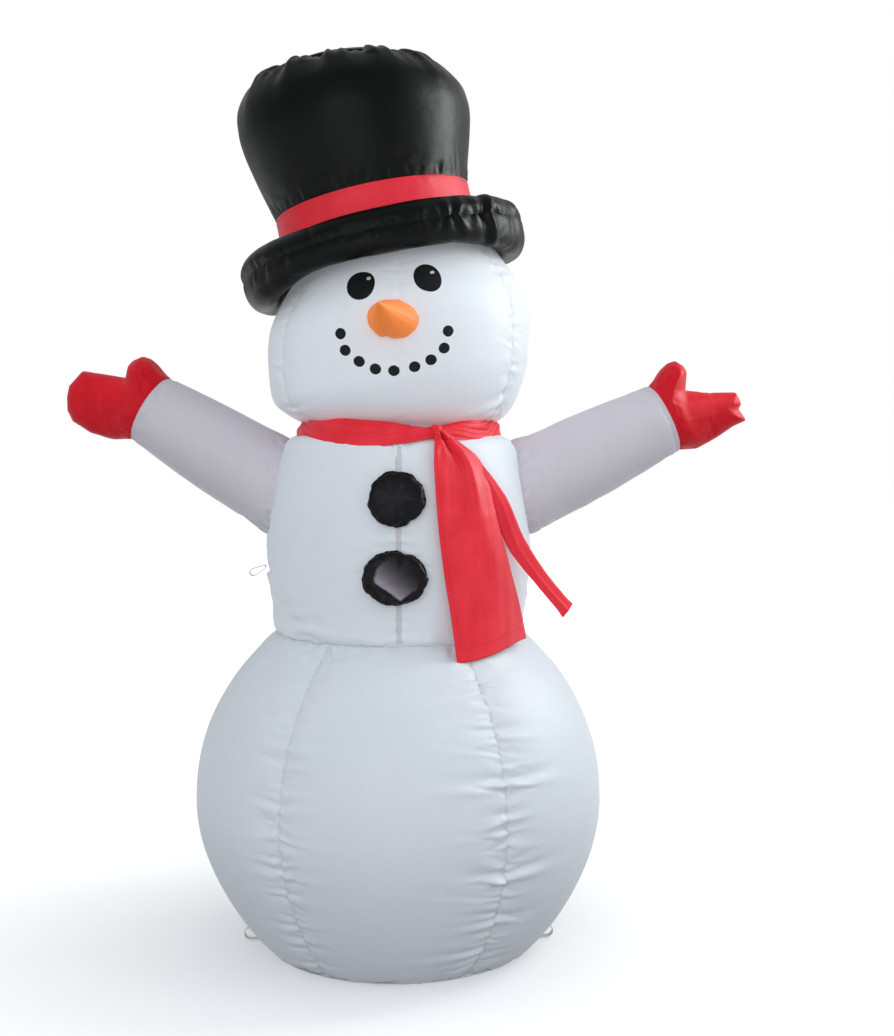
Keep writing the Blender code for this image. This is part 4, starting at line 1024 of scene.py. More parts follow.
def place_hat(points):
    """Settle the crown's top and turn hat points into place."""
    settle = smooth_step(points[..., 2], 0.16, 0.36)
    points = points.copy()
    points[..., 2] -= 0.085 * points[..., 0] * settle
    matrix = np.array(HAT)
    return points @ matrix[:3, :3].T + matrix[:3, 3]


def make_crown():
    rng = np.random.default_rng(41)
    profile = smooth_curve(CROWN_OUTLINE, step=GRID_STEP)
    points, bearings = rings(profile)
    run = run_length(profile)
    s_top = run[:, None] + np.zeros(len(bearings))
    s_low = run[-1] - s_top
    t, period = around(bearings, CROWN_RADIUS, s_top)
    band_edge = np.interp(BAND_HIGH, profile[::-1, 1], run[::-1])
    s_band = np.abs(s_top - band_edge)
    above = s_top < band_edge
    height = seam_relief(rng, s_top, t, roll=0.004, width=0.010, strength=1.2, period=period, patchy=0.5)
    height += seam_relief(rng, s_band, t, roll=0.0, strength=0.9, period=period) * above
    height += seam_relief(rng, s_low, t, roll=0.0015, strength=0.6, period=period)
    back_seam = np.abs(bearings % 360 - 180)[None] * math.radians(1) * profile[:, :1]
    height += seam_relief(rng, back_seam, s_top, strength=0.8)
    for bearing, size, reach in CROWN_FOLDS:
        height += fold(s_top, t, math.radians(bearing % 360) * CROWN_RADIUS, size * 1.2, reach * 1.15, 0.0090,
                       0.05, period)
    height += gathers(rng, s_top, t, 0.0, period, 0.040, 0.0044, 0.060, 0.0065, period)
    height += gathers(rng, s_band * np.where(above, 1, 9), t, 0.0, period, 0.030, 0.0030, 0.035, 0.004, period)
    band_zone = smooth_step(points[..., 2], BAND_LOW - 0.01, BAND_LOW) * \
        (1 - smooth_step(points[..., 2], BAND_HIGH, BAND_HIGH + 0.008))
    height = height * (1 - band_zone) + swell(rng, points, 0.0015) * smooth_step(s_low, 0.1, 0.2)
    points = raised(points, height)
    uv = np.stack([np.minimum(s_top, back_seam), t], -1)
    side = grid_piece("hat_crown_skin", place_hat(points), uv, "black_nylon", True)
    fill(side, points.shape, grow=0.012, frames=10, cap=0.004, bend=0.2, closed=True,
         held=[row for row, place in enumerate(profile) if place[1] < BAND_HIGH + 0.004])
    stand_for(side, "head", ["hat_crown_side"])

    profile = smooth_curve(CROWN_TOP, step=GRID_STEP)
    top, _ = rings(profile)
    run = run_length(profile)
    s = (run[-1] - run)[:, None] + np.zeros(len(bearings))
    t, period = around(bearings, TOP_RADIUS, s)
    height = seam_relief(rng, s, t, roll=0.0, strength=0.6, period=period, patchy=0.5)
    height = height * smooth_step(s, 0, 0.008) + swell(rng, top, 0.003, 0.25, 0.10)
    height *= smooth_step(run, 0.0, 0.05)[:, None]
    height[-1] = 0
    top = raised(top, height)
    top[-1] = points[0]
    piece = grid_piece("hat_top_skin", place_hat(top), np.stack([s, t], -1), "black_nylon", True)
    stand_for(piece, "head", ["hat_crown_top"])


def make_band():
    rng = np.random.default_rng(43)
    heights = np.linspace(BAND_HIGH, BAND_LOW, 22)
    outline = smooth_curve(CROWN_OUTLINE, step=0.002)[::-1]
    profile = np.stack([np.interp(heights, outline[:, 1], outline[:, 0]) + 0.0022, heights], 1)
    points, bearings = rings(profile)
    run = run_length(profile)[:, None] + np.zeros(len(bearings))
    t, period = around(bearings, CROWN_RADIUS, run)
    s = np.minimum(run, run.max() - run)
    height = seam_relief(rng, s, t, roll=0.0012, width=0.004, strength=0.55, period=period)
    height += 0.0008 * ripple(rng, t + 0.5 * s, 0.05, period)
    points = place_hat(raised(points, height))
    band = grid_piece("hat_band_ribbon", points, np.stack([run, t], -1), "red_satin", True)
    thicken(band, 0.0007)
    stand_for(band, "head", ["hat_band"])
    up = normals(points, True)
    for number, row in ((1, 2), (2, len(heights) - 3)):
        ring, lean = (np.vstack([rows[row], rows[row, :1]]) for rows in (points, up))
        thread = stitches(f"hat_band_stitching_{number}", ring, lean, "red_thread")
        stand_for(thread, "head")


def make_brim():
    rng = np.random.default_rng(47)
    middle, half = (BRIM_INNER + BRIM_OUTER) / 2, (BRIM_OUTER - BRIM_INNER) / 2
    for name, node, first, last in (("hat_brim_upper_skin", "hat_brim_upper", 180, 0),
                                    ("hat_brim_lower_skin", "hat_brim_lower", 0, -180)):
        turn = np.radians(np.linspace(first, last, 40))
        profile = np.stack([middle + half * np.cos(turn), BRIM_HALF_DEPTH * np.sin(turn)], 1)
        points, bearings = rings(profile, 360)
        run = run_length(profile)[:, None] + np.zeros(360)
        s = run[-1] - run if first else run
        t, period = around(bearings, BRIM_RADIUS, run)
        seam_rng = np.random.default_rng(53)
        height = seam_relief(seam_rng, s, t, roll=0.0055, width=0.011, strength=0.9, period=period, patchy=0.8)
        height += seam_relief(rng, run.max() - s, t, roll=0.001, strength=0.9, period=period)
        height += gathers(rng, s, t, 0.0, period, 0.060, 0.0026, 0.030, period=period)
        start, end = (BRIM_RADIUS * math.radians(bearing) for bearing in BRIM_GATHERED)
        height += gathers(rng, s, t, start, end, 0.034, 0.0042, 0.026)
        for bearing, size, reach, width in BRIM_CREASES:
            height += fold(s, t, math.radians(bearing) * BRIM_RADIUS, size, reach, width, 0.45, period)
        height += swell(rng, points, 0.0022, 0.30, 0.09) * smooth_step(s, 0.0, 0.03)
        points = raised(points, height)
        ends = points[..., 0] / BRIM_OUTER
        points[..., 2] += BRIM_BEND * np.sign(ends) * np.abs(ends) ** 2.5
        below = np.clip(-points[..., 2] / BRIM_HALF_DEPTH, 0, 1.2)
        points[..., 2] -= BRIM_DROOP * below * smooth_step(np.abs(ends), 0.45, 1.0)
        piece = grid_piece(name, place_hat(points), np.stack([s, t], -1), "black_nylon", True)
        fill(piece, points.shape, grow=0.012, frames=8, cap=0.004, closed=True)
        stand_for(piece, "head", [node])


# ---- Sleeves and mittens ---------------------------------------------------------------------------
WRIST_REACH = 0.010
# (turn round the sleeve from level, size, how far out they run, lean)
SLEEVE_FOLDS = {
    "left": [(-70, 0.005, 0.07, 0.1), (-100, -0.004, 0.06, -0.1), (100, 0.004, 0.06, 0.1),
             (180, 0.004, 0.07, 0.2)],
    "right": [(-80, 0.005, 0.07, 0.2), (-110, -0.004, 0.06, -0.1), (80, 0.004, 0.05, 0.1),
              (150, 0.004, 0.06, 0.2)],
}


def sleeve_starts(tree, shoulder, reach, ring):
    """How far out from the shoulder each line of a sleeve meets the chest."""
    starts = []
    for direction in ring:
        origin = Vector(shoulder + direction * SLEEVE_ROOT_RADIUS + reach * 0.35)
        point, _, _, distance = tree.ray_cast(origin, Vector(-reach))
        starts.append(0.35 - distance if point is not None else 0.0)
    starts = np.array(starts) - 0.0035
    return (np.roll(starts, 1) + starts + np.roll(starts, -1)) / 3


def make_sleeve(side, chest_pieces):
    rng = np.random.default_rng(61 if side == "left" else 67)
    level, upright, reach, length = arm_axes(side)
    shoulder = ARMS[side][0]
    rows = 84
    turns = np.linspace(0, TURN, 144, endpoint=False)
    ring = np.cos(turns)[:, None] * level + np.sin(turns)[:, None] * upright
    starts = sleeve_starts(surface_tree(*chest_pieces), shoulder, reach, ring)
    share = np.linspace(0, 1, rows)[:, None]
    share = share - 0.10 * np.sin(TURN * share) / TURN
    axial = starts[None] * (1 - share) + (length + WRIST_REACH) * share
    taper = SLEEVE_WRIST_RADIUS - SLEEVE_ROOT_RADIUS
    radius = SLEEVE_ROOT_RADIUS + taper * np.clip(axial / length, -0.1, 1)
    radius = radius + 0.0035 * np.sin(math.pi * np.clip(share, 0, 1))
    points = shoulder + axial[..., None] * reach + radius[..., None] * ring[None]
    s_root = axial - starts[None]
    s_wrist = (length + WRIST_REACH) - axial
    t = turns[None] * SLEEVE_RADIUS + np.zeros_like(axial)
    period = TURN * SLEEVE_RADIUS
    height = seam_relief(rng, s_root, t, roll=0.004, width=0.009, strength=1.5, period=period)
    height += seam_relief(rng, s_wrist, t, roll=0.003, width=0.008, strength=0.9, period=period)
    under = np.abs((turns + math.pi / 2 + math.pi) % TURN - math.pi)[None] * SLEEVE_RADIUS + np.zeros_like(t)
    height += seam_relief(rng, under, s_root, roll=0.0015, width=0.006, strength=0.5)
    for turn, size, run, lean in SLEEVE_FOLDS[side]:
        height += fold(s_root, t, math.radians(turn % 360) * SLEEVE_RADIUS, size, run, 0.007, lean)
    height += gathers(rng, s_root, t, 0.0, period, 0.026, 0.0030, 0.045, period=period)
    height += swell(rng, points, 0.0010, 0.2, 0.08) * smooth_step(s_root, 0, 0.03)
    facing = normals(points, True)
    if facing[rows // 2, 0] @ ring[0] < 0:
        facing = -facing
    points = points + facing * height[..., None]
    uv = np.stack([np.minimum(np.minimum(s_root, s_wrist), under), t], -1)
    sleeve = grid_piece(f"{side}_sleeve_skin", points, uv, "sleeve_nylon", True)
    face_away_from(sleeve, shoulder + reach * length / 2)
    fill(sleeve, points.shape, grow=0.010, cap=0.003, closed=True)
    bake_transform(sleeve)
    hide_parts(f"{side}_arm_sleeve")
    return points[-1]


# Outline of each mitten seen from the front, from its lower wrist corner out, round and back to the upper
# one: (distance out from the wrist, height over it)
MITTEN_OUTLINES = {
    "left": [
        (0.0450, -0.0640), (0.0880, -0.0520), (0.1300, -0.0400), (0.1650, -0.0180), (0.1755, 0.0030),
        (0.1760, 0.0300), (0.1710, 0.0520), (0.1440, 0.0800), (0.0990, 0.0720), (0.0560, 0.0640),
        (0.0545, 0.0760), (0.0515, 0.0885), (0.0420, 0.0985), (0.0250, 0.1060), (0.0120, 0.1020),
        (-0.0010, 0.0920), (-0.0330, 0.0680),
    ],
    "right": [
        (0.0370, -0.0660), (0.0730, -0.0545), (0.1110, -0.0335), (0.1485, -0.0090), (0.1735, 0.0020),
        (0.1715, 0.0080), (0.1585, 0.0245), (0.1640, 0.0335), (0.1625, 0.0390), (0.1530, 0.0570),
        (0.0905, 0.0580), (0.0500, 0.0590), (0.0520, 0.0770), (0.0545, 0.0945), (0.0480, 0.1065),
        (0.0330, 0.1165), (0.0200, 0.1120), (-0.0050, 0.0900), (-0.0320, 0.0680),
    ],
}
MITTEN_PITCH = 0.0038
MITTEN_RIM = (0.0004, 0.0014, 0.0030, 0.0050)      # rows of points that follow the seam
MITTEN_PRESSURE, MITTEN_GROW = 4.0, 0.06
MEET_LENGTH = 0.040            # how far out the mitten's open end is drawn onto the sleeve


def outline_distance(points, outline):
    """Distance of 2-D points from an open chain of 2-D points."""
    best = np.full(len(points), 9.0)
    for a, b in zip(outline, outline[1:]):
        side = b - a
        share = np.clip((points - a) @ side / (side @ side), 0, 1)
        best = np.minimum(best, np.linalg.norm(points - a - share[:, None] * side, axis=1))
    return best


def even_chain(corners, pitch):
    """Points at an even pitch along straight edges, keeping the corners."""
    chain = []
    for a, b in zip(corners, corners[1:]):
        count = max(1, round(np.linalg.norm(b - a) / pitch))
        chain += [a + (b - a) * k / count for k in range(count)]
    return np.array(chain + [corners[-1]])


def mitten_sheet(seam):
    """Points and triangles of a flat panel with finer rows beside its seam."""
    cuff = even_chain(np.array([seam[-1], seam[0]]), MITTEN_PITCH)[1:-1]
    ring = np.vstack([seam, cuff])
    step = np.roll(ring, -1, 0) - np.roll(ring, 1, 0)
    inward = np.stack([-step[:, 1], step[:, 0]], 1) / np.linalg.norm(step, axis=1, keepdims=True)
    rim = [seam[2:-2] + inward[2:len(seam) - 2] * depth for depth in MITTEN_RIM]
    low, high = ring.min(0), ring.max(0)
    lattice = [(x + (k % 2) * MITTEN_PITCH / 2, y)
               for k, y in enumerate(np.arange(low[1], high[1], MITTEN_PITCH * 0.87))
               for x in np.arange(low[0], high[0], MITTEN_PITCH)]
    inner = np.vstack(rim + [np.array(lattice)])
    from_seam = outline_distance(inner, seam)
    from_cuff = outline_distance(inner, np.vstack([seam[-1:], cuff, seam[:1]]))
    keep = (from_cuff > MITTEN_PITCH * 0.6) & (from_seam > MITTEN_RIM[0] * 0.9)
    rim_size = len(MITTEN_RIM) * (len(seam) - 4)
    keep[rim_size:] &= from_seam[rim_size:] > MITTEN_RIM[-1] + MITTEN_PITCH * 0.6
    edges = [(k, (k + 1) % len(ring)) for k in range(len(ring))]
    flat = [Vector(point) for point in np.vstack([ring, inner[keep]])]
    flat, _, faces, _, _, _ = delaunay_2d_cdt(flat, edges, [], 1, 1e-7)
    return np.array([tuple(point) for point in flat]), faces


def make_mitten(side, wrist_ring):
    """A mitten of two flat panels sewn round their outline, whose seam is drawn in as the panels fill."""
    mirror = -1 if side == "left" else 1
    shoulder, wrist = ARMS[side]
    _, _, reach, length = arm_axes(side)
    seam = even_chain(np.array(MITTEN_OUTLINES[side]), MITTEN_PITCH)
    flat, faces = mitten_sheet(seam)
    depth = outline_distance(flat, seam)
    out = smooth_step(flat[:, 0] - 0.3 * flat[:, 1], 0.0, 0.13)
    width = SLEEVE_WRIST_RADIUS * (1 - 0.42 * out)
    swollen = width * (1 - 0.12 * out) * np.sqrt(np.maximum(0, 1 - (1 - np.minimum(depth / width, 1)) ** 2))
    shared = depth < 1e-6
    back = np.where(shared, np.arange(len(flat)), len(flat) + np.cumsum(~shared) - 1)
    front_points = np.stack([flat[:, 0] * mirror, -swollen, flat[:, 1]], 1)
    points = np.vstack([front_points, front_points[~shared] * np.array([1, -1, 1])])
    turn = mirror * math.atan2(reach[1], abs(reach[0]))
    spin = np.array([[math.cos(turn), -math.sin(turn), 0], [math.sin(turn), math.cos(turn), 0], UP])
    points = points @ spin.T + wrist
    cells = [tuple(face) for face in faces] + [tuple(int(back[i]) for i in reversed(face)) for face in faces]
    uv = np.stack([np.concatenate([values, values[~shared]]) for values in (depth, flat[:, 0])], 1)
    mitten = mesh_object(f"{side}_mitten_skin", points, cells, uv, "red_nylon")
    face_away_from(mitten, points.mean(0))
    meet_ring(mitten, wrist_ring, reach)
    edge = [v.index for v in mitten.data.vertices
            if (np.array(v.co) - shoulder) @ reach < length + WRIST_REACH + 0.003]
    inflate(mitten, edge, MITTEN_PRESSURE, MITTEN_GROW, frames=20, cap=0.012, bend=0.15)
    puff = mitten.modifiers.new("puff", "SUBSURF")
    puff.levels = puff.render_levels = 1
    apply_modifiers(mitten)
    stand_for(mitten, f"{side}_arm", [f"{side}_mitten"])


def meet_ring(piece, ring, reach):
    """Draw the open end of a mitten onto the sleeve's last ring, less and less further out."""
    middle = ring.mean(0)
    rays = ring - middle
    rays = rays - (rays @ reach)[:, None] * reach
    sizes = np.linalg.norm(rays, axis=1)
    for vertex in piece.data.vertices:
        point = np.array(vertex.co)
        off = point - middle
        out = off @ reach
        weight = 1 - smooth_step(np.array(out), 0.0, MEET_LENGTH)
        radial = off - reach * out
        size = np.linalg.norm(radial)
        if weight <= 0 or size < 1e-6:
            continue
        direction = radial / size
        nearest = np.argmax((rays / sizes[:, None]) @ direction)
        target = middle + direction * sizes[nearest] + reach * max(out, 0.0)
        vertex.co = Vector(point * (1 - weight) + target * weight)


def inflate(piece, sewn, pressure, grow, frames, cap, bend=0.4):
    """Blow a sewn piece up as cloth whose listed points stay put, then keep the result as its mesh."""
    start = np.array([vertex.co for vertex in piece.data.vertices])
    group = piece.vertex_groups.new(name="sewn")
    group.add(list(map(int, sewn)), 1.0, "REPLACE")
    cloth = piece.modifiers.new("air", "CLOTH")
    settings = cloth.settings
    settings.quality = 5
    settings.mass = 0.15
    settings.tension_stiffness = settings.compression_stiffness = 20
    settings.shear_stiffness = 6
    settings.bending_stiffness = bend
    settings.use_pressure = True
    settings.uniform_pressure_force = pressure
    settings.vertex_group_mass = "sewn"
    settings.shrink_min = -grow
    settings.effector_weights.gravity = 0
    cloth.collision_settings.use_collision = False
    cloth.point_cache.frame_start, cloth.point_cache.frame_end = 1, frames
    for number in range(1, frames + 1):
        SCENE.frame_set(number)
    evaluated = piece.evaluated_get(bpy.context.evaluated_depsgraph_get())
    end = np.array([vertex.co for vertex in evaluated.data.vertices])
    piece.modifiers.clear()
    piece.vertex_groups.clear()
    SCENE.frame_set(1)
    move = end - start
    size = np.linalg.norm(move, axis=1, keepdims=True)
    move *= cap * np.tanh(size / cap) / np.maximum(size, 1e-9)
    piece.data.vertices.foreach_set("co", (start + move).ravel())
    piece.data.update()


def fill(piece, shape, pressure=2.0, grow=0.03, frames=12, cap=0.008, bend=0.05, closed=False, held=()):
    """Fill a panel with air while its sewn edges, and any rows held down, stay put."""
    index = np.arange(shape[0] * shape[1]).reshape(shape[:2])
    edge = [index[row] for row in (0, -1, *held)]
    if not closed:
        edge += [index[:, 0], index[:, -1]]
    inflate(piece, np.unique(np.concatenate(edge)), pressure, grow, frames, cap, bend)


# ---- Buttons ---------------------------------------------------------------------------------------
# Half width, half height, look
BUTTONS = {
    "upper_button": (0.0565, 0.0540, "button_nylon"),
    # the lower button's look carries a painted grey highlight
    "lower_button": (0.0650, 0.0540, "rubbed_nylon"),
}
BUTTON_RADIUS = 0.055          # for lengths measured round a button


def make_buttons():
    """Stuffed black discs, gathered all round their edge."""
    for number, (name, (half_width, half_height, look)) in enumerate(BUTTONS.items()):
        rng = np.random.default_rng(71 + number)
        low, high = (np.array(corner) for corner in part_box(name))
        centre = (low + high) / 2
        depth = (high[1] - low[1]) / 2
        columns = 128
        turns = np.linspace(0, TURN, columns, endpoint=False)
        scallop = 1 + 0.022 * ripple(rng, turns, 0.42, TURN) + 0.018 * ripple(rng, turns, 0.2, TURN)
        polar = np.linspace(0.0, math.pi, 54)[:, None]
        edge, facing = np.sin(polar), np.sign(np.cos(polar))
        spread = edge ** 0.75
        lobes = 1 + (scallop[None] - 1) * edge ** 6
        x = centre[0] + np.cos(turns)[None] * half_width * spread * lobes
        z = centre[2] + np.sin(turns)[None] * half_height * spread * lobes
        y = centre[1] - depth * facing * np.abs(np.cos(polar)) ** 0.8 * np.ones(columns)
        points = np.stack([x, y, z], -1)
        s = np.abs(1 - spread) * BUTTON_RADIUS + np.zeros_like(x)
        t = turns[None] * BUTTON_RADIUS + np.zeros_like(x)
        relief = seam_relief(rng, s, t, roll=0.0, strength=2.6, period=TURN * BUTTON_RADIUS, patchy=0.4)
        points[..., 1] -= relief * facing * smooth_step(s, 0, 0.004) * smooth_step(edge + 0 * x, 0.05, 0.4)
        if name == "lower_button":
            off = points - centre
            facet = smooth_step(-off[..., 0] * 0.55 - off[..., 2], -0.030, 0.030)
            points[..., 1] += 0.004 * facet * (facing > 0) * smooth_step(s, 0.004, 0.02)
        piece = grid_piece(f"{name}_pad", points, np.stack([s, t], -1), look, True)
        weld_poles(piece)
        face_away_from(piece, centre)
        held = [v.index for v in piece.data.vertices if v.co.y > centre[1] + depth * 0.55]
        inflate(piece, held, pressure=2.5, grow=0.07, frames=14, cap=0.007, bend=0.03)
        stand_for(piece, "envelope", [name])


# ---- Chest's front tape ----------------------------------------------------------------------------
TAPE_LIFTS = np.array([-0.0008, 0.0006, 0.0010, 0.0011, 0.0010, 0.0006, -0.0008])
TAPE_HALF, TAPE_BESIDE = 0.0062, 0.012       # half its width, and how far beside it the chest is probed


def make_centre_tape(chest_pieces):
    """The seam allowance down the front of the chest: a narrow doubled strip with a stitch line each side."""
    tree = surface_tree(*chest_pieces)
    heights = np.linspace(1.004, 0.636, 110)
    offsets = np.linspace(-TAPE_HALF, TAPE_HALF, len(TAPE_LIFTS))
    wander = 0.0010 * ripple(np.random.default_rng(77), heights, 0.07)
    share = (offsets + TAPE_BESIDE) / (2 * TAPE_BESIDE)
    points = np.zeros((len(heights), len(offsets), 3))
    for row, z, shift in zip(points, heights, wander):
        left, right = (front_of(tree, side + shift, z)[0][1] for side in (-TAPE_BESIDE, TAPE_BESIDE))
        y = left * (1 - share) + right * share - TAPE_LIFTS
        row[:] = np.stack([shift + offsets, y, z + 0 * offsets], 1)
    run = run_length(points[:, 3])
    uv = np.stack([0.02 + offsets[None] + 0 * run[:, None], run[:, None] + 0 * offsets[None]], -1)
    tape = grid_piece("chest_front_tape", points, uv, "sleeve_nylon")
    stand_for(tape, "envelope")
    ahead = np.zeros((len(heights), 3)) - np.array([0, 1, 0])
    for number, column in ((1, 1), (2, 5)):
        thread = stitches(f"chest_tape_stitching_{number}", points[:, column], ahead, "white_thread")
        stand_for(thread, "envelope")


# ---- Scarf -----------------------------------------------------------------------------------------
KNOT_BEARING = 18.4
KNOT_HALF = (0.0110, 0.0130, 0.0105)         # half its size along, out and up
# Wrap: bearing, height of its top edge, then the radius and height of its bottom edge
WRAP_EDGES = [
    (-180, 1.052, 0.2180, 1.020), (-130, 1.052, 0.2080, 1.022), (-90, 1.052, 0.2030, 1.0225),
    (-60, 1.053, 0.2160, 1.016), (-42, 1.054, 0.2320, 1.006), (-24, 1.054, 0.2385, 0.999),
    (-8, 1.049, 0.2375, 1.003), (6, 1.042, 0.2345, 1.011), (14, 1.038, 0.2320, 1.017),
    (23, 1.041, 0.2320, 1.016), (38, 1.049, 0.2300, 1.013), (60, 1.055, 0.2150, 1.019),
    (90, 1.059, 0.2040, 1.024), (130, 1.056, 0.2090, 1.022), (180, 1.052, 0.2180, 1.020),
]
WRAP_TOP_IN, WRAP_TUCK_IN = 0.020, 0.052     # how far its top and its tucked edge lie inside its lower one
WRAP_RADIUS = 0.21             # for lengths measured round the wrap
WRAP_PLEATS = [(1.7, 0.0044), (3.4, 0.0030), (7.0, 0.0007)]     # how many across it, size


def make_wrap():
    """The scarf round the neck: one long strip gathered into lengthwise pleats, its top edge tucked in."""
    rng = np.random.default_rng(83)
    edges = np.array(WRAP_EDGES, float)
    bearings = np.linspace(-180, 180, 400, endpoint=False)
    top_z, low_r, low_z = (np.interp(bearings, edges[:, 0], edges[:, k]) for k in range(1, 4))
    low_r = sum(np.roll(low_r, k) for k in range(-6, 7)) / 13
    profiles = np.array([smooth_curve([
        (wide - WRAP_TUCK_IN, high - 0.012), (wide - WRAP_TOP_IN * 1.8, high - 0.001),
        (wide - WRAP_TOP_IN, high - 0.002), (wide - WRAP_TOP_IN / 2 + 0.0035, (high + low) / 2 + 0.004),
        (wide, low)], count=56) for high, wide, low in zip(top_z, low_r, low_z)]).transpose(1, 0, 2)
    points = profiles[..., :1] * outward(bearings)[None] + profiles[..., 1:] * UP
    share = np.linspace(0, 1, len(points))[:, None]
    turn = np.radians(bearings)[None] * WRAP_RADIUS
    period = TURN * WRAP_RADIUS
    near_knot = np.exp(-(((bearings - KNOT_BEARING + 180) % 360 - 180) / 30.0) ** 2)[None]
    slide = 0.38 * ripple(rng, turn, 0.17, period) + 0.08 * ripple(rng, turn, 0.06, period)
    pleats = np.zeros_like(share + turn)
    for count, size in WRAP_PLEATS:
        phase = rng.uniform(0, NEAR_TURN) + 1.5 * ripple(rng, turn, 0.35, period)
        wave = np.sin(TURN * count * (share + slide * (1 - near_knot)) + phase)
        pleats += size * (1 - 2 * np.abs(wave) ** 0.8) * (0.6 + 0.4 * ripple(rng, turn, 0.12, period))
    pleats *= np.sin(math.pi * np.clip(share, 0.02, 0.98)) ** 0.4
    points = raised(points, pleats)
    uv = np.stack([share * 0.11 + 0 * turn, turn + 0 * share], -1)
    wrap = grid_piece("scarf_wrap_cloth", points, uv, "red_satin", True)
    thicken(wrap, 0.0009)
    stand_for(wrap, "envelope", ["scarf_wrap"])


def make_knot():
    """A soft turn of the scarf over itself, pinched at its middle."""
    rng = np.random.default_rng(89)
    low, high = (np.array(corner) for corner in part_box("scarf_knot"))
    centre = (low + high) / 2
    polar = np.linspace(0, math.pi, 34)[:, None]
    turns = np.linspace(0, TURN, 56, endpoint=False)[None]
    body = np.sin(polar) ** 0.7 * (1 - 0.12 * np.sin(polar) ** 4)
    pleat = 1 + 0.11 * np.sin(turns * 5 + 1.2 * np.cos(polar) + 0.6) * np.sin(polar) ** 0.5 \
        + 0.05 * ripple(rng, turns + 0 * polar, 0.35, TURN)
    points = centre + (np.cos(turns) * KNOT_HALF[0] * body * pleat)[..., None] * along(KNOT_BEARING) \
        + (np.sin(turns) * KNOT_HALF[1] * body * pleat)[..., None] * outward(KNOT_BEARING) \
        + (np.cos(polar) * KNOT_HALF[2] + 0 * turns)[..., None] * UP
    uv = np.stack([polar * 0.02 + 0 * turns, turns * 0.02 + 0 * polar], -1)
    knot = grid_piece("scarf_knot_cloth", points, uv, "red_satin", True)
    weld_poles(knot)
    face_away_from(knot, centre)
    stand_for(knot, "envelope", ["scarf_knot"])


# Rows down the wide tail: bearing and height of its left edge, then of its right edge
WIDE_TAIL_ROWS = [
    (16.6, 1.0320, 21.0, 1.0320), (15.8, 1.0120, 27.5, 1.0120), (14.3, 0.965, 37.2, 0.965),
    (14.9, 0.864, 41.9, 0.864), (17.3, 0.770, 49.6, 0.772), (20.5, 0.680, 57.0, 0.695),
    (22.8, 0.600, 63.0, 0.628),
]


HEM_BACK = 7                                 # grid rows from the tail's end to its hem stitching


def chest_radius(height):
    outline = np.array(CHEST_OUTLINE)[::-1]
    return np.interp(height, outline[:, 1], outline[:, 0])


def blend_at_knot(piece):
    """Bake the piece's transform into its mesh."""
    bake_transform(piece)


def make_wide_tail():
    rng = np.random.default_rng(97)
    edges = smooth_curve(WIDE_TAIL_ROWS, count=130)
    share = np.linspace(0, 1, 48)[None]
    down = np.linspace(0, 1, len(edges))[:, None]
    left_b, left_z, right_b, right_z = (edges[:, k:k + 1] for k in range(4))
    bearing = left_b + (right_b - left_b) * share
    z = left_z + (right_z - left_z) * (3 * share ** 2 - 2 * share ** 3)
    radius = np.maximum(chest_radius(z) + 0.016, 0.239)
    radius = radius + (0.2795 - radius) * smooth_step(-z, -0.87, -0.80)
    points = radius[..., None] * outward(bearing) + z[..., None] * UP
    top = 1 - smooth_step(down, 0.0, 0.55)
    height = 0.0070 * top * np.exp(-((share - 0.26 - 0.16 * down) / 0.12) ** 2)
    height -= 0.0190 * top * np.exp(-((share - 0.41 - 0.34 * down) / 0.050) ** 2)
    height += 0.0090 * (1 - smooth_step(down, 0.1, 0.75)) * np.exp(-((share - 0.60 - 0.16 * down) / 0.11) ** 2)
    height += 0.0030 * np.sin(math.pi * (share * 2.6 + 0.4 * down + 0.3)) * (0.3 + 0.7 * (1 - down))
    height += 0.0022 * smooth_step(down, 0.5, 1.0) * np.sin(math.pi * (share * 2.1 - 0.25))
    height += 0.0007 * ripple(rng, share * 0.12 + 0.1 * down, 0.012) * (1 - 0.5 * down)
    height *= smooth_step(down, -0.02, 0.04)
    points = raised(points, height, False)
    uv = np.stack([share * 0.115 + 0 * down, down * 0.42 + 0 * share], -1)
    tail = grid_piece("scarf_wide_tail_cloth", points, uv, "red_satin")
    thicken(tail, 0.0008, 0)
    blend_at_knot(tail)
    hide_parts("scarf_wide_tail")
    up = normals(points, False)
    row, side = (-HEM_BACK, slice(1, -1)), (slice(6, -HEM_BACK), 3)
    hem_rows, hem_left = (stitches(name, points[at] + up[at] * 0.0005, up[at], "red_thread")
                          for name, at in (("scarf_wide_tail_hem", row), ("scarf_wide_tail_left_hem", side)))
    stand_for(hem_rows, "wide_tail")
    blend_at_knot(hem_left)


# Down the middle of the narrow tail: bearing, radius and height
NARROW_TAIL_PATH = [
    (22.0, 0.2340, 1.016), (33.0, 0.2600, 0.966), (43.0, 0.2770, 0.895),
    (52.2, 0.2860, 0.8155), (60.4, 0.3150, 0.748), (66.9, 0.3565, 0.683),
]
# Lengths down the tail, and its width at each
NARROW_WIDTHS = ((0.0, 0.07, 0.16, 0.26, 0.34), (0.022, 0.027, 0.040, 0.039, 0.031))


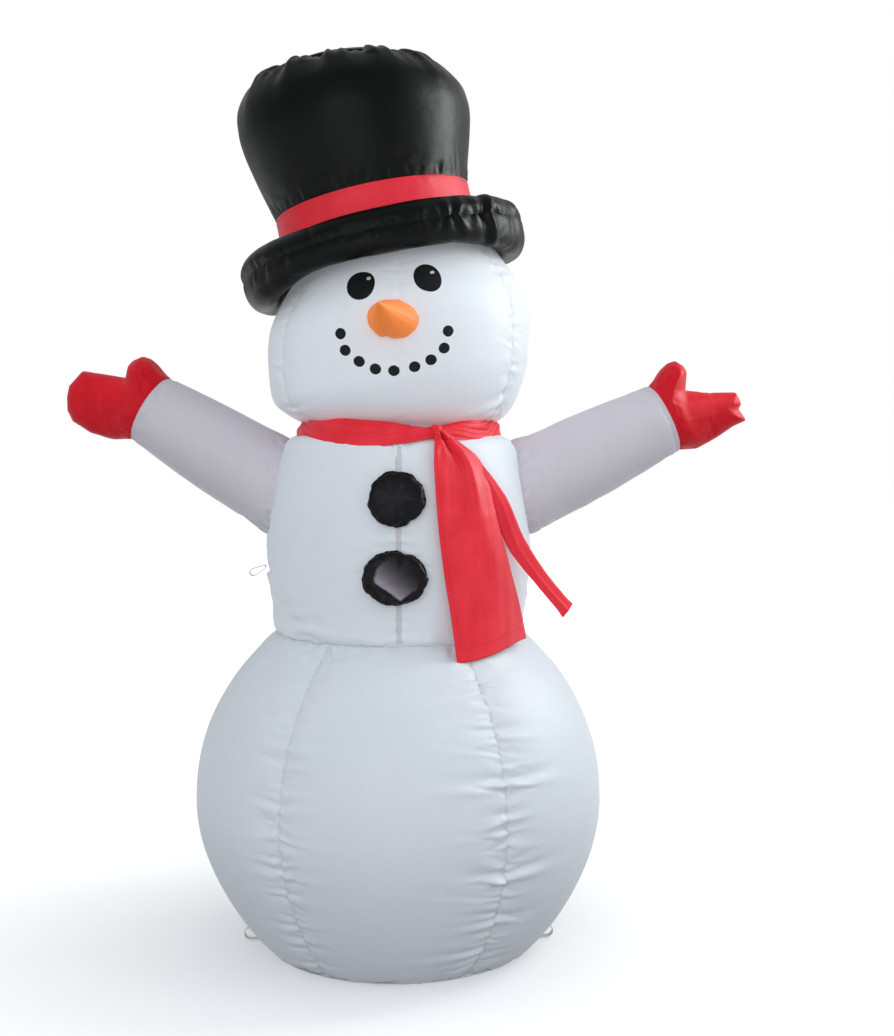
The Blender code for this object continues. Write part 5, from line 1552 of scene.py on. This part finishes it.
def make_narrow_tail():
    rng = np.random.default_rng(101)
    path = np.array([outward(bearing) * radius + np.array([0, 0, height])
                     for bearing, radius, height in NARROW_TAIL_PATH])
    path = smooth_curve(path, count=110)
    run = run_length(path)
    ahead = np.gradient(path, axis=0)
    ahead /= np.linalg.norm(ahead, axis=1, keepdims=True)
    out = path * np.array([1, 1, 0])
    out = 0.45 * out / np.linalg.norm(out, axis=1, keepdims=True) + np.array([0, -0.55, 0])
    out /= np.linalg.norm(out, axis=1, keepdims=True)
    across = np.cross(out, ahead)
    across /= np.linalg.norm(across, axis=1, keepdims=True)
    normal = np.cross(ahead, across)
    share = np.linspace(-0.5, 0.5, 15)[None]
    down = run[:, None]
    width = np.interp(run, *NARROW_WIDTHS)[:, None]
    cup = -0.0035 * (4 * share ** 2) * (1 - 0.5 * smooth_step(down, 0.1, 0.35))
    ridge = 0.0016 * np.exp(-((share - 0.12 * np.sin(down * 14)) / 0.10) ** 2)
    points = path[:, None] + across[:, None] * (share * width)[..., None] \
        + normal[:, None] * (cup + ridge)[..., None]
    points[..., 2] += share * 0.006 * smooth_step(down, run[-1] - 0.02, run[-1])
    points = points + normal[:, None] * (0.0005 * ripple(rng, down + share * 0.01, 0.02))[..., None]
    uv = np.stack([share * 0.028 + 0 * down, down + 0 * share], -1)
    tail = grid_piece("scarf_narrow_tail_cloth", points, uv, "red_satin")
    thicken(tail, 0.0008, 0)
    stand_for(tail, "narrow_tail", ["scarf_narrow_tail"])


# ---- Carried-over CAD nodes ------------------------------------------------------------------------
# The start of a node's name, and its look; the longest that fits is used
NODE_LOOKS = {
    "base_": "white_nylon", "base_floor": "sleeve_nylon", "zip_tape": "zip_tape", "zip_": "zip_metal",
    "blower_": "blower_plastic", "blower_impeller": "fan_plastic", "blower_shaft": "steel",
    "blower_motor": "steel", "blower_motor_bracket": "blower_plastic", "power_inlet": "blower_plastic",
    "lamp_wire": "wire_plastic", "lower_lamp": "lamp_plastic", "upper_lamp": "lamp_plastic",
    "left_stake": "white_webbing", "right_stake": "white_webbing", "back_stake": "white_webbing",
    "left_tether": "white_webbing", "back_tether": "white_webbing",
}


def dress_nodes():
    """Give each CAD node that stays in view its finished material."""
    for node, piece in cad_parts.items():
        if piece.hide_render:
            continue
        start = max((start for start in NODE_LOOKS if node.startswith(start)), key=len)
        piece.data.materials.clear()
        piece.data.materials.append(LOOKS[NODE_LOOKS[start]])


make_camera()
make_world()
make_lights()
make_floor()
make_ball()
chest = make_chest()
head = make_head()
make_face(head)
make_nose(head)
make_crown()
make_band()
make_brim()
for arm in ARMS:
    make_mitten(arm, make_sleeve(arm, chest))
make_buttons()
make_centre_tape(chest)
make_wrap()
make_knot()
make_wide_tail()
make_narrow_tail()
dress_nodes()
